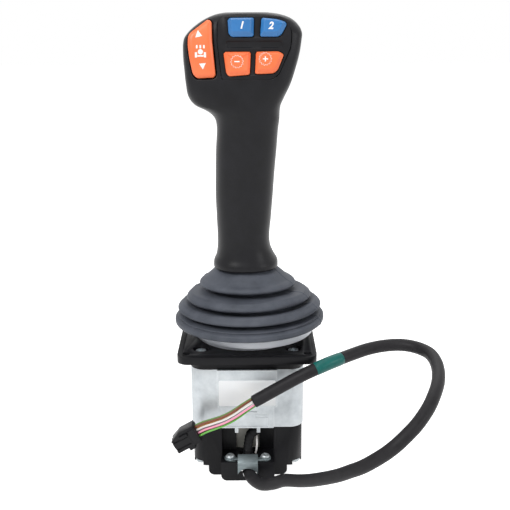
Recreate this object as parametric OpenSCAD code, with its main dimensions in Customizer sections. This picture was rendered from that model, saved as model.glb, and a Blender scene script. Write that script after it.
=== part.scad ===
// Two-axis industrial joystick: multifunction grip, rubber bellows, flange,
// die-cast housing with gimbal, sensor cover and a stiff lead with a connector.
// The origin is the middle of the flange's top face, and the operator sits at -Y.

/* [Grip] */
// Height of the grip's top above the flange
grip_top = 234.5; // [230:0.5:245]
// Height of the grip's bottom rim above the flange
grip_rim_z = 54; // [53:0.5:57]
// Wall of the grip shells
grip_wall = 2.4; // [1.8:0.1:3]
// Share by which the head is made wider or narrower
head_spread = 1; // [0.95:0.01:1.1]
// Share by which the hand grip is made wider or narrower
column_spread = 1; // [0.95:0.01:1.15]
// Thickness of the face panel
panel_t = 3; // [2:0.25:4]
// Gap between a button and its opening
button_gap = 0.35; // [0.25:0.05:0.6]
// Travel of the push buttons
button_travel = 2; // [1:0.25:2.5]
// Height that the push buttons stand out of the panel
button_rise = 3.2; // [2.6:0.2:4.5]
// Diameter of the rocker's pivot pin
rocker_pin_d = 3; // [2.5:0.25:3.5]

/* [Lever] */
// Height of the pivot centre, measured from the flange's top face
pivot_z = -12; // [-13:0.5:-11]
// Diameter of the lever shaft
shaft_d = 12; // [10:0.5:13]
// Bore through the lever shaft
shaft_bore_d = 7; // [5:0.5:8]
// Diameter of the gimbal pins
pin_d = 6; // [5:0.5:6.5]
// Radial clearance of the running fits
run_gap = 0.05; // [0.02:0.01:0.09]
// Wall of the gimbal ring
ring_wall = 7; // [5.5:0.25:7.5]
// Height of the gimbal ring
ring_h = 12; // [11:0.5:14]
// Width of the square pivot block
block_w = 18; // [17:0.5:18]

/* [Bellows] */
// Radius of the widest fold of the bellows
fold_r = 53.7; // [50:0.1:55]
// Step in radius from one fold to the next
fold_step = 7.2; // [6.6:0.1:7.6]
// Step in height from one fold to the next
fold_pitch = 9.3; // [9:0.1:9.6]
// Radius of the bellows' bottom rim
bellows_rim_r = 56; // [54:0.5:58]
// Height of the underside of the bellows' bottom rim
bellows_rim_z = 9.8; // [9:0.1:10.5]
// Wall of the bellows, measured along the radius
bellows_wall = 2.6; // [2:0.1:3]

/* [Flange] */
// Width of the square flange
flange_w = 100; // [98:1:110]
// Thickness of the flange
flange_t = 6; // [5:0.25:7]
// Corner radius of the flange
flange_r = 8; // [4:0.5:9]
// Pitch of the four panel mounting holes
panel_pitch = 86.5; // [84:0.5:87]
// Diameter of the panel mounting holes
panel_hole_d = 5.5; // [4:0.1:6]
// Diameter of the housing screws
body_screw_d = 5; // [4:0.5:5]
// Outer radius of the collar under the bellows
collar_r = 45; // [44:0.5:47]
// Height of the collar's narrow foot under its visible band
collar_foot_h = 3.8; // [3:0.1:4.5]

/* [Housing] */
// Width of the square die-cast housing
housing_w = 82.4; // [80:0.2:84]
// Height of the flange's skirt
skirt_h = 7.3; // [6:0.1:9]
// Height of the die-cast housing
housing_h = 45.7; // [42:0.1:50]
// Wall of the housing, the skirt and the cover
housing_wall = 3; // [2.5:0.1:3.5]
// Corner radius of the housing
housing_r = 10.5; // [8:0.5:12]

/* [Cover] */
// How far the cover's sides stand back from the housing's
cover_inset = 0.8; // [0.4:0.1:1.2]
// Height of the lower cover's body
cover_h = 31; // [29:0.5:33]
// Height of the step under the cover's body
step_h = 8; // [7:0.2:10]
// Width of the foot under the cover
step_w = 58.4; // [54:0.4:60]
// Height of the cable channel
channel_h = 24; // [22:0.5:25]
// Width of the cable channel in the cover's front
channel_w = 38.4; // [36:0.2:40]
// Depth of the cable channel
channel_depth = 12; // [10:0.5:13]
// How far the cable block stands out of the cover's front
block_out = 8.6; // [8:0.2:10]
// Diameter of the cover screws
cover_screw_d = 4; // [3:0.5:4]

/* [Lead] */
// Diameter of the lead's sheath
lead_d = 9; // [8.6:0.1:9.2]
// Thickness of the sheet-metal cable clamp
clamp_t = 1.6; // [1:0.1:2]
// Width of the clamp's hanging strap
strap_w = 14.8; // [13:0.2:16]
// How far the clamp's strap hangs below the block's top
strap_drop = 9; // [7:0.2:9.4]
// Diameter of one core
core_d = 1.5; // [1.2:0.1:1.7]

/* [Hidden] */
$fn = 64;
eps = 0.01;
seat_gap = 0.3;

// Heights of the seats down the base
flange_bottom = -flange_t;
housing_top = flange_bottom - skirt_h;
housing_bottom = housing_top - housing_h;
gasket_t = 0.6;
cover_top = housing_bottom - gasket_t;
cover_bottom = cover_top - cover_h;
base_bottom = cover_bottom - step_h;

// The cover, the screws and the gimbal follow the housing's width
cover_w = housing_w - 2 * cover_inset;
body_inset = 7.7;
body_pitch = housing_w - 2 * body_inset;
cover_screw_inset = 5.4;
cover_pitch = cover_w - 2 * cover_screw_inset;
bearing_t = 9;
bearing_gap = 1.2;
ring_clearance = 4;
bearing_out = housing_w / 2 - housing_wall - bearing_gap;
bearing_in = bearing_out - bearing_t;
ring_r = bearing_in - ring_clearance;

// ---------------------------------------------------------------- helpers

// A rectangle with round corners, centred
module rounded_rect(w, d, r) {
    square([w - 2 * r, d], center = true);
    square([w, d - 2 * r], center = true);
    for (x = [-1, 1], y = [-1, 1])
        translate([x * (w / 2 - r), y * (d / 2 - r)]) circle(r = r);
}

// Puts the children at the four corners of a square pitch
module at_corners(pitch) {
    for (x = [-1, 1], y = [-1, 1])
        translate([x * pitch / 2, y * pitch / 2, 0]) children();
}

// A cap screw with a hexagon socket: head above z 0, shank below
module cap_screw(head_d, head_h, shank_d, shank_len, socket) {
    difference() {
        cylinder(d = head_d, h = head_h);
        translate([0, 0, head_h * 0.45]) cylinder(d = socket, h = head_h, $fn = 6);
    }
    translate([0, 0, -shank_len]) cylinder(d = shank_d, h = shank_len);
}

// A pan-head screw with a low domed head
module pan_screw(head_d, head_h, shank_d, shank_len, socket) {
    difference() {
        rotate_extrude()
            polygon([[0, 0], [head_d / 2, 0], [head_d / 2, head_h * 0.5],
                     [head_d * 0.4, head_h * 0.85], [head_d * 0.26, head_h], [0, head_h]]);
        translate([0, 0, head_h * 0.45]) cylinder(d = socket, h = head_h, $fn = 6);
    }
    translate([0, 0, -shank_len]) cylinder(d = shank_d, h = shank_len);
}

// Linear value between two numbers
function mix(a, b, t) = a + (b - a) * t;

// Catmull-Rom value of a station table at height z: rows are [z, value, ...]
function span_of(rows, z, i = 0) =
    (i >= len(rows) - 2 || z < rows[i + 1][0]) ? i : span_of(rows, z, i + 1);
function row_at(rows, i) = rows[max(0, min(len(rows) - 1, i))];
function slope_at(rows, i, c) =
    let (a = row_at(rows, i - 1), b = row_at(rows, i + 1)) (b[c] - a[c]) / (b[0] - a[0]);
function smooth_value(rows, z, c) =
    let (i = span_of(rows, z), p = rows[i], q = rows[i + 1], h = q[0] - p[0],
         t = (z - p[0]) / h, t2 = t * t, t3 = t2 * t)
    (2 * t3 - 3 * t2 + 1) * p[c] + (t3 - 2 * t2 + t) * h * slope_at(rows, i, c)
    + (3 * t2 - 2 * t3) * q[c] + (t3 - t2) * h * slope_at(rows, i + 1, c);

// ---------------------------------------------------------------- swept leads

function unit(v) = v / norm(v);
function tangent_at(path, i) =
    unit(path[min(i + 1, len(path) - 1)] - path[max(i - 1, 0)]);
// Carries a side vector along the route without twist
function side_vectors(path, side, i = 0) =
    i >= len(path) ? [] :
    let (t = tangent_at(path, i), s = unit(side - t * (side * t)))
    concat([s], side_vectors(path, s, i + 1));

// ---------------------------------------------------------------- grip form

// Stations of the hand grip and head, from the rim up:
// height, left side, right side, front, back, squareness of the section.
// The first group follows the hand, the second group is the head.
column_rows = [
    [0, -24.6, 23.1, -24, 25, 2.3],
    [0.02, -24.4, 22.8, -23.8, 24.8, 2.3],
    [0.045, -22.6, 20.2, -22, 23.2, 2.3],
    [0.08, -21.6, 17.6, -20.6, 21.8, 2.3],
    [0.125, -21.4, 16.8, -20, 21.5, 2.3],
    [0.2, -21.8, 18, -19.8, 22.2, 2.3],
    [0.29, -22.3, 19.3, -20, 23.6, 2.3],
    [0.39, -22, 20.6, -20.5, 24.4, 2.3],
    [0.48, -21.5, 22, -21, 24.2, 2.4],
    [0.555, -20.6, 23, -21.6, 24, 2.6]
];
head_rows = [
    [0.595, -21.4, 23.9, -22.2, 24, 2.7],
    [0.618, -24.1, 24.1, -22.6, 24, 2.8],
    [0.636, -28.6, 24.3, -22.9, 24.1, 3.1],
    [0.656, -35.6, 25, -23.1, 24.3, 3.6],
    [0.688, -39.9, 27.6, -23.2, 24.5, 4],
    [0.735, -41.3, 31.5, -22.9, 24.5, 5],
    [0.79, -42.2, 34.8, -22.3, 24.2, 5],
    [0.85, -42.8, 37.6, -21.3, 23.8, 5],
    [0.9, -42.2, 39, -20.4, 23.2, 4.8],
    [0.926, -39.4, 39.2, -19.8, 22.6, 4.4],
    [0.955, -33.6, 36.6, -19, 21.4, 3.4],
    [0.98, -26.2, 31, -17.6, 19, 3.2],
    [0.994, -19.6, 23.4, -15, 16.2, 3],
    [1, -14, 16, -11.6, 12.6, 2.8]
];
grip_h = grip_top - grip_rim_z;
grip_rows = concat(
    [for (r = column_rows) [grip_rim_z + r[0] * grip_h, r[1] * column_spread,
                            r[2] * column_spread, r[3], r[4], r[5]]],
    [for (r = head_rows) [grip_rim_z + r[0] * grip_h, r[1] * mix(column_spread, head_spread,
                          min(1, (r[0] - 0.56) / 0.1)),
                          r[2] * mix(column_spread, head_spread, min(1, (r[0] - 0.56) / 0.1)),
                          r[3], r[4], r[5]]]);

// Heights of the loft's rings: every station, and one ring between far ones
grip_levels = [for (i = [0 : len(grip_rows) - 1])
    let (z = grip_rows[i][0], gap = i < len(grip_rows) - 1 ? grip_rows[i + 1][0] - z : 0)
    each (gap > 9 ? [z, z + gap / 2] : [z])];

// Angle steps over half a section
half_steps = 24;
split_y = 1;

// A point of the section at height z, at polar angle a, inset by the wall.
// dir is -1 for the front half and 1 for the rear half.
function section_point(z, a, dir, inset) =
    let (l = smooth_value(grip_rows, z, 1), r = smooth_value(grip_rows, z, 2),
         f = smooth_value(grip_rows, z, 3), b = smooth_value(grip_rows, z, 4),
         n = smooth_value(grip_rows, z, 5),
         cx = (l + r) / 2, hw = (r - l) / 2 - inset,
         hd = (dir < 0 ? split_y - f : b - split_y) - inset,
         rad = 1 / pow(pow(abs(cos(a)) / hw, n) + pow(abs(sin(a)) / hd, n), 1 / n))
    [cx + rad * cos(a), split_y + dir * rad * sin(a)];

// The inner skin stays one wall below the crown
crown_z = grip_rim_z + 0.926 * grip_h;
function inner_z(z) = z < crown_z ? z : z - grip_wall * (z - crown_z) / (grip_top - crown_z);

// One half of the grip as a closed thin shell: dir -1 is the front, 1 the rear.
// Points run j steps round the half and i levels up, first the outer skin, then the inner.
module grip_half(dir) {
    n = len(grip_levels);
    m = half_steps + 1;
    nm = n * m;
    function skin(inset) = [for (z = grip_levels, j = [0 : m - 1])
        let (p = section_point(z, j * 180 / half_steps, dir, inset))
        [p[0], p[1], inset > 0 ? inner_z(z) : z]];
    // A quad a-b-c-d as two triangles, turned over for the rear half
    function quad(a, b, c, d) = dir < 0 ? [[a, c, b], [a, d, c]] : [[a, b, c], [a, c, d]];
    skins = [for (i = [0 : n - 2], j = [0 : m - 2])
             let (a = i * m + j, b = a + m, c = b + 1, d = a + 1)
             each concat(quad(a, b, c, d), quad(nm + a, nm + d, nm + c, nm + b))];
    rim = [for (j = [0 : m - 2]) each quad(j, j + 1, nm + j + 1, nm + j)];
    sides = [for (i = [0 : n - 2]) let (a = i * m, b = a + m, c = a + m - 1, d = b + m - 1)
             each concat(quad(a, nm + a, nm + b, b), quad(c, d, nm + d, nm + c))];
    t0 = (n - 1) * m;
    t1 = t0 + m - 1;
    function fan(first, turned) = [for (j = [1 : m - 2])
        turned ? [first, first + j, first + j + 1] : [first, first + j + 1, first + j]];
    crown = concat(fan(t0, dir < 0), fan(nm + t0, dir > 0), quad(t0, nm + t0, nm + t1, t1));
    polyhedron(points = concat(skin(0), skin(grip_wall)),
               faces = concat(skins, rim, sides, crown), convexity = 10);
}

// ---------------------------------------------------------------- face and controls

// Puts the children on the face plane: X to the right, Y up the face, Z at the operator
face_lean = 6.5;
face_y = -21;
face_mid_z = grip_rim_z + 0.85 * grip_h;
module on_face(x = 0, y = 0, rise = 0) {
    translate([0, face_y, face_mid_z]) rotate([90 - face_lean, 0, 0])
        translate([x, y, rise]) children();
}

// Outlines on the face, in face coordinates
panel_outline = [[-15.8, -17], [18, -17], [23, -13.5], [30.8, 4], [31.6, 13], [30, 20.8],
                 [25, 24.6], [-14, 25.6], [-18.2, 22], [-18.8, 8]];
rocker_outline = [[-22, 9], [-22.2, 21.4], [-24.8, 23], [-37, 13.8], [-38.2, 11], [-38.4, 6],
                  [-37.6, -2], [-35.4, -13], [-32.6, -16], [-21.4, -15.6], [-19.9, -14]];
blue_left_outline = [[-9, 11.2], [5.9, 11.2], [6.3, 23.6], [-9.8, 23.6], [-11.4, 22], [-10.9, 13.4]];
blue_right_outline = [[10.3, 11.2], [22.2, 11.2], [24.8, 12.8], [28.2, 19], [27.2, 20.8],
                      [22.2, 22.6], [11.2, 23.6]];
minus_outline = [[-10.9, -14.8], [3.2, -13.8], [4, 0.2], [3.1, 1.4], [-13, 1.4], [-14.4, 0.2],
                 [-12.7, -12.6]];
plus_outline = [[6.8, -13.4], [19.2, -12.9], [22.2, -10.6], [26.4, -0.4], [22.6, 1.6], [7.5, 1.4]];

// A finger groove between the two rows of buttons
groove_outline = [[-12.6, 3.6], [25.6, 3.6], [26.4, 5.2], [25.8, 9], [-12.4, 9], [-13.4, 7.2]];
groove_depth = 0.9;

// Depths behind the face: panel, button lips, switches and board
panel_recess = 0.4;
panel_back = -panel_recess - panel_t;
lip_t = 1.2;
lip_out = 0.8;
stem_d = 3;
switch_gap = 0.4;
switch_w = 6.2;
switch_h = 3.8;
switch_top = panel_back - lip_t - button_travel - switch_gap;
board_top = switch_top - switch_h;
board_t = 1.6;
board_back = board_top - board_t;
stem_sink = 0.8;

// Outline functions for convex outlines that run anticlockwise. Growing moves every
// side outwards, rounding turns every corner into a few points of a tangent curve.
function left_of(v) = [-v[1], v[0]];
function grown(outline, by) = [for (i = [0 : len(outline) - 1])
    let (n = len(outline), p = outline[i],
         a = unit(p - outline[(i + n - 1) % n]), b = unit(outline[(i + 1) % n] - p))
    p - (left_of(a) + left_of(b)) * by / (1 + a * b)];
corner_steps = 4;
function rounded(outline, r) = [for (i = [0 : len(outline) - 1])
    let (n = len(outline), p = outline[i], q = outline[(i + n - 1) % n], s = outline[(i + 1) % n],
         reach = min(r, 0.45 * norm(p - q), 0.45 * norm(s - p)),
         a = p + unit(q - p) * reach, b = p + unit(s - p) * reach)
    for (k = [0 : corner_steps]) let (t = k / corner_steps)
        a * (1 - t) * (1 - t) + p * 2 * t * (1 - t) + b * t * t];

// A round-cornered prism on the face between two depths
module face_prism(outline, low, high, grow = 0, r = 1.6) {
    on_face(0, 0, low) linear_extrude(high - low) polygon(rounded(grown(outline, grow), r));
}

// A lofted stack on the face: rows are [depth, grow], and the outline follows them up
module face_stack(outline, rows, r = 1.6) {
    rings = [for (row = rows) rounded(grown(outline, row[1]), r)];
    m = len(rings[0]);
    points = [for (i = [0 : len(rows) - 1], p = rings[i]) [p[0], p[1], rows[i][0]]];
    walls = [for (i = [0 : len(rows) - 2], j = [0 : m - 1])
             let (a = i * m + j, b = i * m + (j + 1) % m)
             each [[a, a + m, b + m], [a, b + m, b]]];
    base = [for (j = [0 : m - 1]) j];
    lid = [for (j = [m - 1 : -1 : 0]) (len(rows) - 1) * m + j];
    on_face() polyhedron(points = points, faces = concat(walls, [base, lid]), convexity = 4);
}

module panel_posts(d, low, high) {
    for (p = [[-15.2, 6.3], [8, 6.3], [27, 7], [-15, -14.8]])
        on_face(p[0], p[1], low) cylinder(d = d, h = high - low, $fn = 32);
}

module face_panel() {
    color("#1f2023") {
        difference() {
            face_prism(panel_outline, panel_back, -panel_recess, -0.15, 2);
            for (o = [blue_left_outline, blue_right_outline, minus_outline, plus_outline])
                face_prism(o, panel_back - 1, 1, button_gap);
            face_stack(groove_outline, [[-panel_recess - groove_depth, -1], [1, 1.2]], 2);
        }
        panel_posts(3, board_top, panel_back);
    }
}

// A push button: bevelled cap, retaining lip behind the panel and a round stem
module push_button(outline, centre) {
    bevel = 1.2;
    face_stack(outline, [[panel_back - lip_t, lip_out], [panel_back, lip_out], [panel_back, 0],
                         [button_rise - bevel, 0], [button_rise, -bevel]]);
    on_face(centre[0], centre[1], switch_top - stem_sink)
        cylinder(d = stem_d, h = panel_back - switch_top + stem_sink - lip_t / 2, $fn = 32);
}
blue_left_centre = [-2, 17.6];
blue_right_centre = [19, 17.2];
minus_centre = [-4.6, -6.2];
plus_centre = [14.6, -5.4];
button_centres = [blue_left_centre, blue_right_centre, minus_centre, plus_centre];

module button_blue_left() color("#3079c1") push_button(blue_left_outline, blue_left_centre);
module button_blue_right() color("#3079c1") push_button(blue_right_outline, blue_right_centre);
module button_minus() color("#ff7f4a") push_button(minus_outline, minus_centre);
module button_plus() color("#ff7f4a") push_button(plus_outline, plus_centre);

// Switches under the buttons, each with a guide bore for the stem
module button_switches() {
    color("#18181a") for (c = button_centres)
        on_face(c[0], c[1], board_top) difference() {
            translate([-switch_w / 2, -switch_w / 2, 0]) cube([switch_w, switch_w, switch_h]);
            translate([0, 0, switch_h - stem_sink - button_travel - switch_gap])
                cylinder(d = stem_d + 0.4, h = switch_h, $fn = 32);
        }
}

module switch_board() {
    color("#1d6b3c") face_prism(panel_outline, board_back, board_top, -1.6, 2);
}

// The rocker turns on a pin between two ears of its cradle
rocker_gap = 0.9;
rocker_rise = 2.8;
rocker_skirt = 1.6;
rocker_axis = 3.5;
rocker_axis_depth = -5;
rocker_hub = [-34, -23.6];
ear_t = 1.8;
ear_gap = 0.3;
cradle_back = board_back - 1.6;
rocker_curve_r = 75;
plunger_offset = 11;

module rocker_cap() {
    hub_w = rocker_hub[1] - rocker_hub[0];
    color("#ff7f4a") difference() {
        union() {
            intersection() {
                face_prism(rocker_outline, -rocker_skirt, rocker_rise + 1);
                on_face(-60, rocker_axis, rocker_rise - rocker_curve_r) rotate([0, 90, 0])
                    cylinder(r = rocker_curve_r, h = 60, $fn = 180);
            }
            on_face(rocker_hub[0], rocker_axis - 5, rocker_axis_depth - 3.2)
                cube([hub_w, 10, 3.2 - rocker_axis_depth - rocker_skirt + 0.5]);
            for (s = [-1, 1])
                on_face(-29, rocker_axis + s * plunger_offset, -6) cylinder(d = 3, h = 5, $fn = 32);
        }
        on_face(-60, rocker_axis, rocker_axis_depth) rotate([0, 90, 0])
            cylinder(d = rocker_pin_d + 2 * run_gap, h = 60);
    }
}

module rocker_pin() {
    color("#c9ccd0") on_face(rocker_hub[0] - ear_gap - ear_t, rocker_axis, rocker_axis_depth)
        rotate([0, 90, 0])
            cylinder(d = rocker_pin_d, h = rocker_hub[1] - rocker_hub[0] + 2 * (ear_gap + ear_t));
}

module rocker_cradle() {
    x0 = rocker_hub[0] - ear_gap - ear_t;
    x1 = rocker_hub[1] + ear_gap + ear_t;
    ear_top = rocker_axis_depth + rocker_pin_d / 2 + 1.4;
    plunger_reach = 6;
    switch_low = plunger_reach + 2;
    color("#1a1a1c") difference() {
        union() {
            on_face(0, rocker_axis, cradle_back) linear_extrude(board_back - cradle_back)
                polygon([[x0, -15], [x1, -15], [x1, 16], [x0 + 9, 16], [x0, 8]]);
            // A tongue under the switch board
            on_face(x1 - 1, rocker_axis - 6, cradle_back) cube([8, 12, board_back - cradle_back]);
            for (x = [x0, x1 - ear_t])
                on_face(x, rocker_axis - 4.5, board_back - eps)
                    cube([ear_t, 9, ear_top - board_back]);
            for (s = [-1, 1])
                on_face(-29 - switch_w / 2, rocker_axis + s * plunger_offset - 2.6, board_back - eps)
                    cube([switch_w, 5.2, -switch_low - board_back]);
        }
        on_face(x0 - 1, rocker_axis, rocker_axis_depth) rotate([0, 90, 0])
            cylinder(d = rocker_pin_d, h = x1 - x0 + 2);
    }
}

// ---------------------------------------------------------------- grip shells

// Screws from the rear: x, share of the grip's height, front end, seat of the head, rear end
grip_screw_rows = [[-15, 0.1, -14, 11, 17], [11.6, 0.1, -13.6, 11, 17],
                   [-33, 0.705, -19, 15, 22], [20.5, 0.705, -19, 15, 22]];
grip_screw_d = 2.5;
grip_head_d = 4.8;
module along_y(x, z, y0, y1, d, fn = 32) {
    translate([x, y0, z]) rotate([-90, 0, 0]) cylinder(d = d, h = y1 - y0, $fn = fn);
}

front_post_d = 5.6;
rear_post_d = 6.8;
skin_inset = 0.3;

// A flat slab of the grip's own section, from height z up
module grip_slab(z, h, inset) {
    turn = 180 / half_steps;
    translate([0, 0, z]) linear_extrude(h) polygon(concat(
        [for (j = [0 : half_steps]) section_point(z + h / 2, 180 - j * turn, -1, inset)],
        [for (j = [1 : half_steps - 1]) section_point(z + h / 2, j * turn, 1, inset)]));
}

// A screw post that ends inside the skin
module grip_post(row, y0, y1, d) {
    z = grip_rim_z + row[1] * grip_h;
    intersection() {
        along_y(row[0], z, y0, y1, d);
        grip_slab(z - d / 2 - 1, d + 2, skin_inset);
    }
}

module grip_front_shell() {
    color("#303134") difference() {
        union() {
            grip_half(-1);
            for (r = grip_screw_rows) grip_post(r, r[2], split_y, front_post_d);
        }
        for (r = grip_screw_rows)
            along_y(r[0], grip_rim_z + r[1] * grip_h, r[2] + 3, split_y + 1, grip_screw_d);
        face_prism(panel_outline, -8, 12, 0, 2);
        face_prism(rocker_outline, -10, 12, rocker_gap);
    }
}

module grip_rear_shell() {
    color("#2c2d30") difference() {
        union() {
            grip_half(1);
            for (r = grip_screw_rows) grip_post(r, split_y, r[4], rear_post_d);
        }
        for (r = grip_screw_rows) {
            along_y(r[0], grip_rim_z + r[1] * grip_h, split_y - 1, 30, grip_screw_d + 0.3);
            along_y(r[0], grip_rim_z + r[1] * grip_h, r[3], 30, grip_head_d + 0.4);
        }
    }
}

module grip_screws() {
    color("#b9bcc0") for (r = grip_screw_rows)
        translate([r[0], r[3], grip_rim_z + r[1] * grip_h]) rotate([-90, 0, 0])
            cap_screw(grip_head_d, 2, grip_screw_d, r[3] - r[2] - 3.5, 2);
}

// The core inside the hand grip: a tube on the shaft with ribs that carry the shells
socket_h = 64;
socket_top = grip_rim_z + socket_h;
socket_wall = 2.2;
socket_d = shaft_d + 2 * socket_wall;
spigot_r = 17.2;
spigot_h = 6;
neck_h = 4;
neck_top = grip_rim_z + neck_h;
rib_t = 2.4;
rib_heights = [11, 36, 58];
module grip_socket() {
    color("#1b1b1d") difference() {
        union() {
            translate([0, 0, neck_top - spigot_h]) cylinder(r = spigot_r, h = spigot_h);
            translate([0, 0, neck_top - eps]) cylinder(d = socket_d, h = socket_top - neck_top + eps);
            for (h = rib_heights) grip_slab(grip_rim_z + h, rib_t, grip_wall + seat_gap);
        }
        translate([0, 0, grip_rim_z - spigot_h]) cylinder(d = shaft_d, h = socket_h + 2 * spigot_h);
    }
}

// ---------------------------------------------------------------- lever and gimbal

shaft_below = 26;
magnet_h = 3;
shaft_bottom = pivot_z - shaft_below;
module lever_shaft() {
    color("#c4c7cb") translate([0, 0, shaft_bottom]) difference() {
        cylinder(d = shaft_d, h = socket_top - shaft_bottom);
        translate([0, 0, -1]) cylinder(d = shaft_bore_d, h = socket_top - shaft_bottom + 2);
    }
}

module sensor_magnet() {
    color("#8f949a") translate([0, 0, shaft_bottom]) cylinder(d = shaft_bore_d, h = magnet_h);
}

block_h = 16;
nut_h = 6;
module shaft_nut() {
    color("#b2b6ba") translate([0, 0, pivot_z - block_h / 2 - nut_h]) difference() {
        cylinder(d = shaft_d * 1.7, h = nut_h, $fn = 6);
        translate([0, 0, -1]) cylinder(d = shaft_d, h = nut_h + 2);
    }
}

pin_root = shaft_d / 2 + 0.3;
ring_flat = ring_r - 0.8;
drum_gap = 0.6;
drum_t = 4.4;
module cross_pin(from, to, d = pin_d) {
    translate([0, 0, pivot_z]) rotate([-90, 0, 0]) translate([0, 0, from])
        cylinder(d = d, h = to - from);
}

module pivot_block() {
    color("#a9adb2") difference() {
        translate([-block_w / 2, -block_w / 2, pivot_z - block_h / 2])
            cube([block_w, block_w, block_h]);
        translate([0, 0, pivot_z - block_h]) cylinder(d = shaft_d, h = 2 * block_h);
        cross_pin(-block_w, block_w);
    }
}

module block_pins() {
    color("#c9ccd0") for (s = [0, 180]) rotate([0, 0, s]) cross_pin(pin_root, ring_flat + drum_t - 1);
}

bush_wall = 1.2;
bush_d = pin_d + 2 * run_gap + 2 * bush_wall;
ring_inner_r = ring_r - ring_wall;
module bush(from, to) {
    difference() {
        cross_pin(from, to, bush_d);
        cross_pin(from - 1, to + 1, pin_d + 2 * run_gap);
    }
}

module block_bushes() {
    color("#b5894a") for (s = [0, 180])
        rotate([0, 0, s]) bush(ring_inner_r + 0.2, ring_flat);
}

module gimbal_ring() {
    color("#9fa4a9") difference() {
        intersection() {
            translate([0, 0, pivot_z - ring_h / 2]) cylinder(r = ring_r, h = ring_h, $fn = 96);
            translate([-ring_flat, -ring_flat, pivot_z - ring_h])
                cube([2 * ring_flat, 2 * ring_flat, 2 * ring_h]);
        }
        translate([0, 0, pivot_z - ring_h]) cylinder(r = ring_inner_r, h = 2 * ring_h, $fn = 96);
        cross_pin(-2 * ring_r, 2 * ring_r, bush_d);
        rotate([0, 0, 90]) cross_pin(-2 * ring_r, 2 * ring_r);
    }
}

// Closed drums hold the return springs: two on the ring, two on the bearing blocks
drum_r = 7;
module ring_drums() {
    color("#3b3d40") for (s = [0, 180]) rotate([0, 0, s]) difference() {
        cross_pin(ring_flat, ring_flat + drum_t, 2 * drum_r);
        cross_pin(ring_flat - 1, ring_flat + drum_t - 1 + run_gap, pin_d + 2 * run_gap);
    }
}

bearing_y = 9;
bearing_drop = 14;
module ring_pins() {
    color("#c9ccd0") for (s = [90, 270])
        rotate([0, 0, s]) cross_pin(ring_inner_r + 0.3, bearing_out - 0.5);
}

bearing_screw_x = (bearing_out + 30.5) / 2;
bearing_screw_y = 6.6;
bearing_screw_d = 3;
module at_bearing_screws() {
    for (x = [-1, 1], y = [-1, 1])
        translate([x * bearing_screw_x, y * bearing_screw_y, 0]) children();
}
bearing_head_d = 5.4;
bearing_head_h = 2.4;
bearing_screw_len = 5.6;

module bearing_blocks() {
    color("#a9adb2") difference() {
        for (x = [bearing_in, -bearing_out])
            translate([x, -bearing_y, flange_bottom - bearing_drop])
                cube([bearing_out - bearing_in, 2 * bearing_y, bearing_drop]);
        rotate([0, 0, 90]) cross_pin(-housing_w, housing_w, bush_d);
        at_bearing_screws() translate([0, 0, flange_bottom - bearing_screw_len])
            cylinder(d = bearing_screw_d, h = bearing_screw_len + 1);
    }
}

module bearing_bushes() {
    color("#b5894a") for (s = [90, 270]) rotate([0, 0, s]) bush(bearing_in, bearing_out);
}

module bearing_drums() {
    color("#3b3d40") for (s = [90, 270]) rotate([0, 0, s]) difference() {
        cross_pin(ring_r + drum_gap, bearing_in, 2 * drum_r + 1);
        cross_pin(ring_r, bearing_in + 1, pin_d + 0.6);
    }
}

module bearing_screws() {
    color("#b9bcc0") at_bearing_screws() translate([0, 0, -bearing_head_h - 0.3])
        cap_screw(bearing_head_d, bearing_head_h, bearing_screw_d,
                  flange_t + bearing_screw_len - bearing_head_h - 0.5, 2.4);
}

// ---------------------------------------------------------------- bellows and flange

// Nose of fold k, counted from the lowest: radius and height
fold_low_z = bellows_rim_z + 13.7;
function fold_nose_r(k) = fold_r - fold_step * (k + 0.23 * k * (k - 1));
function fold_nose_z(k) = fold_low_z + fold_pitch * k;
function fold_points(k) = let (r = fold_nose_r(k), z = fold_nose_z(k))
    [[r - 3.4, z + 2.1], [r - 1.5, z + 1.5], [r - 0.4, z + 0.7], [r, z - 0.3],
     [r - 0.3, z - 1.3], [r - 1.2, z - 2], [r - 6.4, z - 4.3]];
neck_r = spigot_r + bellows_wall + seat_gap;
collar_neck_r = collar_r - 4;
collar_inner_r = collar_r - 7.5;
collar_foot_r = collar_r - 6.5;
collar_foot_inner_r = collar_r - 11;
collar_chamfer = 0.8;
collar_top = bellows_rim_z + 3;
collar_shoulder = bellows_rim_z - seat_gap;

module bellows() {
    skin = concat(
        [[neck_r, neck_top], [neck_r, grip_rim_z - 1.2], [neck_r + 3.6, grip_rim_z - 2.6]],
        fold_points(2), fold_points(1), fold_points(0));
    rim = [[bellows_rim_r - 3, bellows_rim_z + 7.8], [bellows_rim_r - 0.8, bellows_rim_z + 7],
           [bellows_rim_r, bellows_rim_z + 5.8], [bellows_rim_r, bellows_rim_z + 1],
           [bellows_rim_r - 1, bellows_rim_z], [collar_neck_r + seat_gap, bellows_rim_z],
           [collar_neck_r + seat_gap, bellows_rim_z + 2.8], [bellows_rim_r - 12, bellows_rim_z + 5]];
    lining = [for (i = [len(skin) - 1 : -1 : 0]) [skin[i][0] - bellows_wall, skin[i][1]]];
    color("#585b62") rotate_extrude($fn = 128) polygon(concat(skin, rim, lining));
}

module bellows_collar() {
    color("#b6bac2") rotate_extrude($fn = 128)
        polygon([[collar_foot_inner_r, 0], [collar_foot_r, 0], [collar_foot_r, collar_foot_h],
                 [collar_r - collar_chamfer, collar_foot_h],
                 [collar_r, collar_foot_h + collar_chamfer],
                 [collar_r, collar_shoulder - collar_chamfer],
                 [collar_r - collar_chamfer, collar_shoulder],
                 [collar_neck_r, collar_shoulder], [collar_neck_r, collar_top],
                 [collar_inner_r, collar_top], [collar_inner_r, collar_foot_h + 2],
                 [collar_foot_inner_r, collar_foot_h]]);
}

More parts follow.
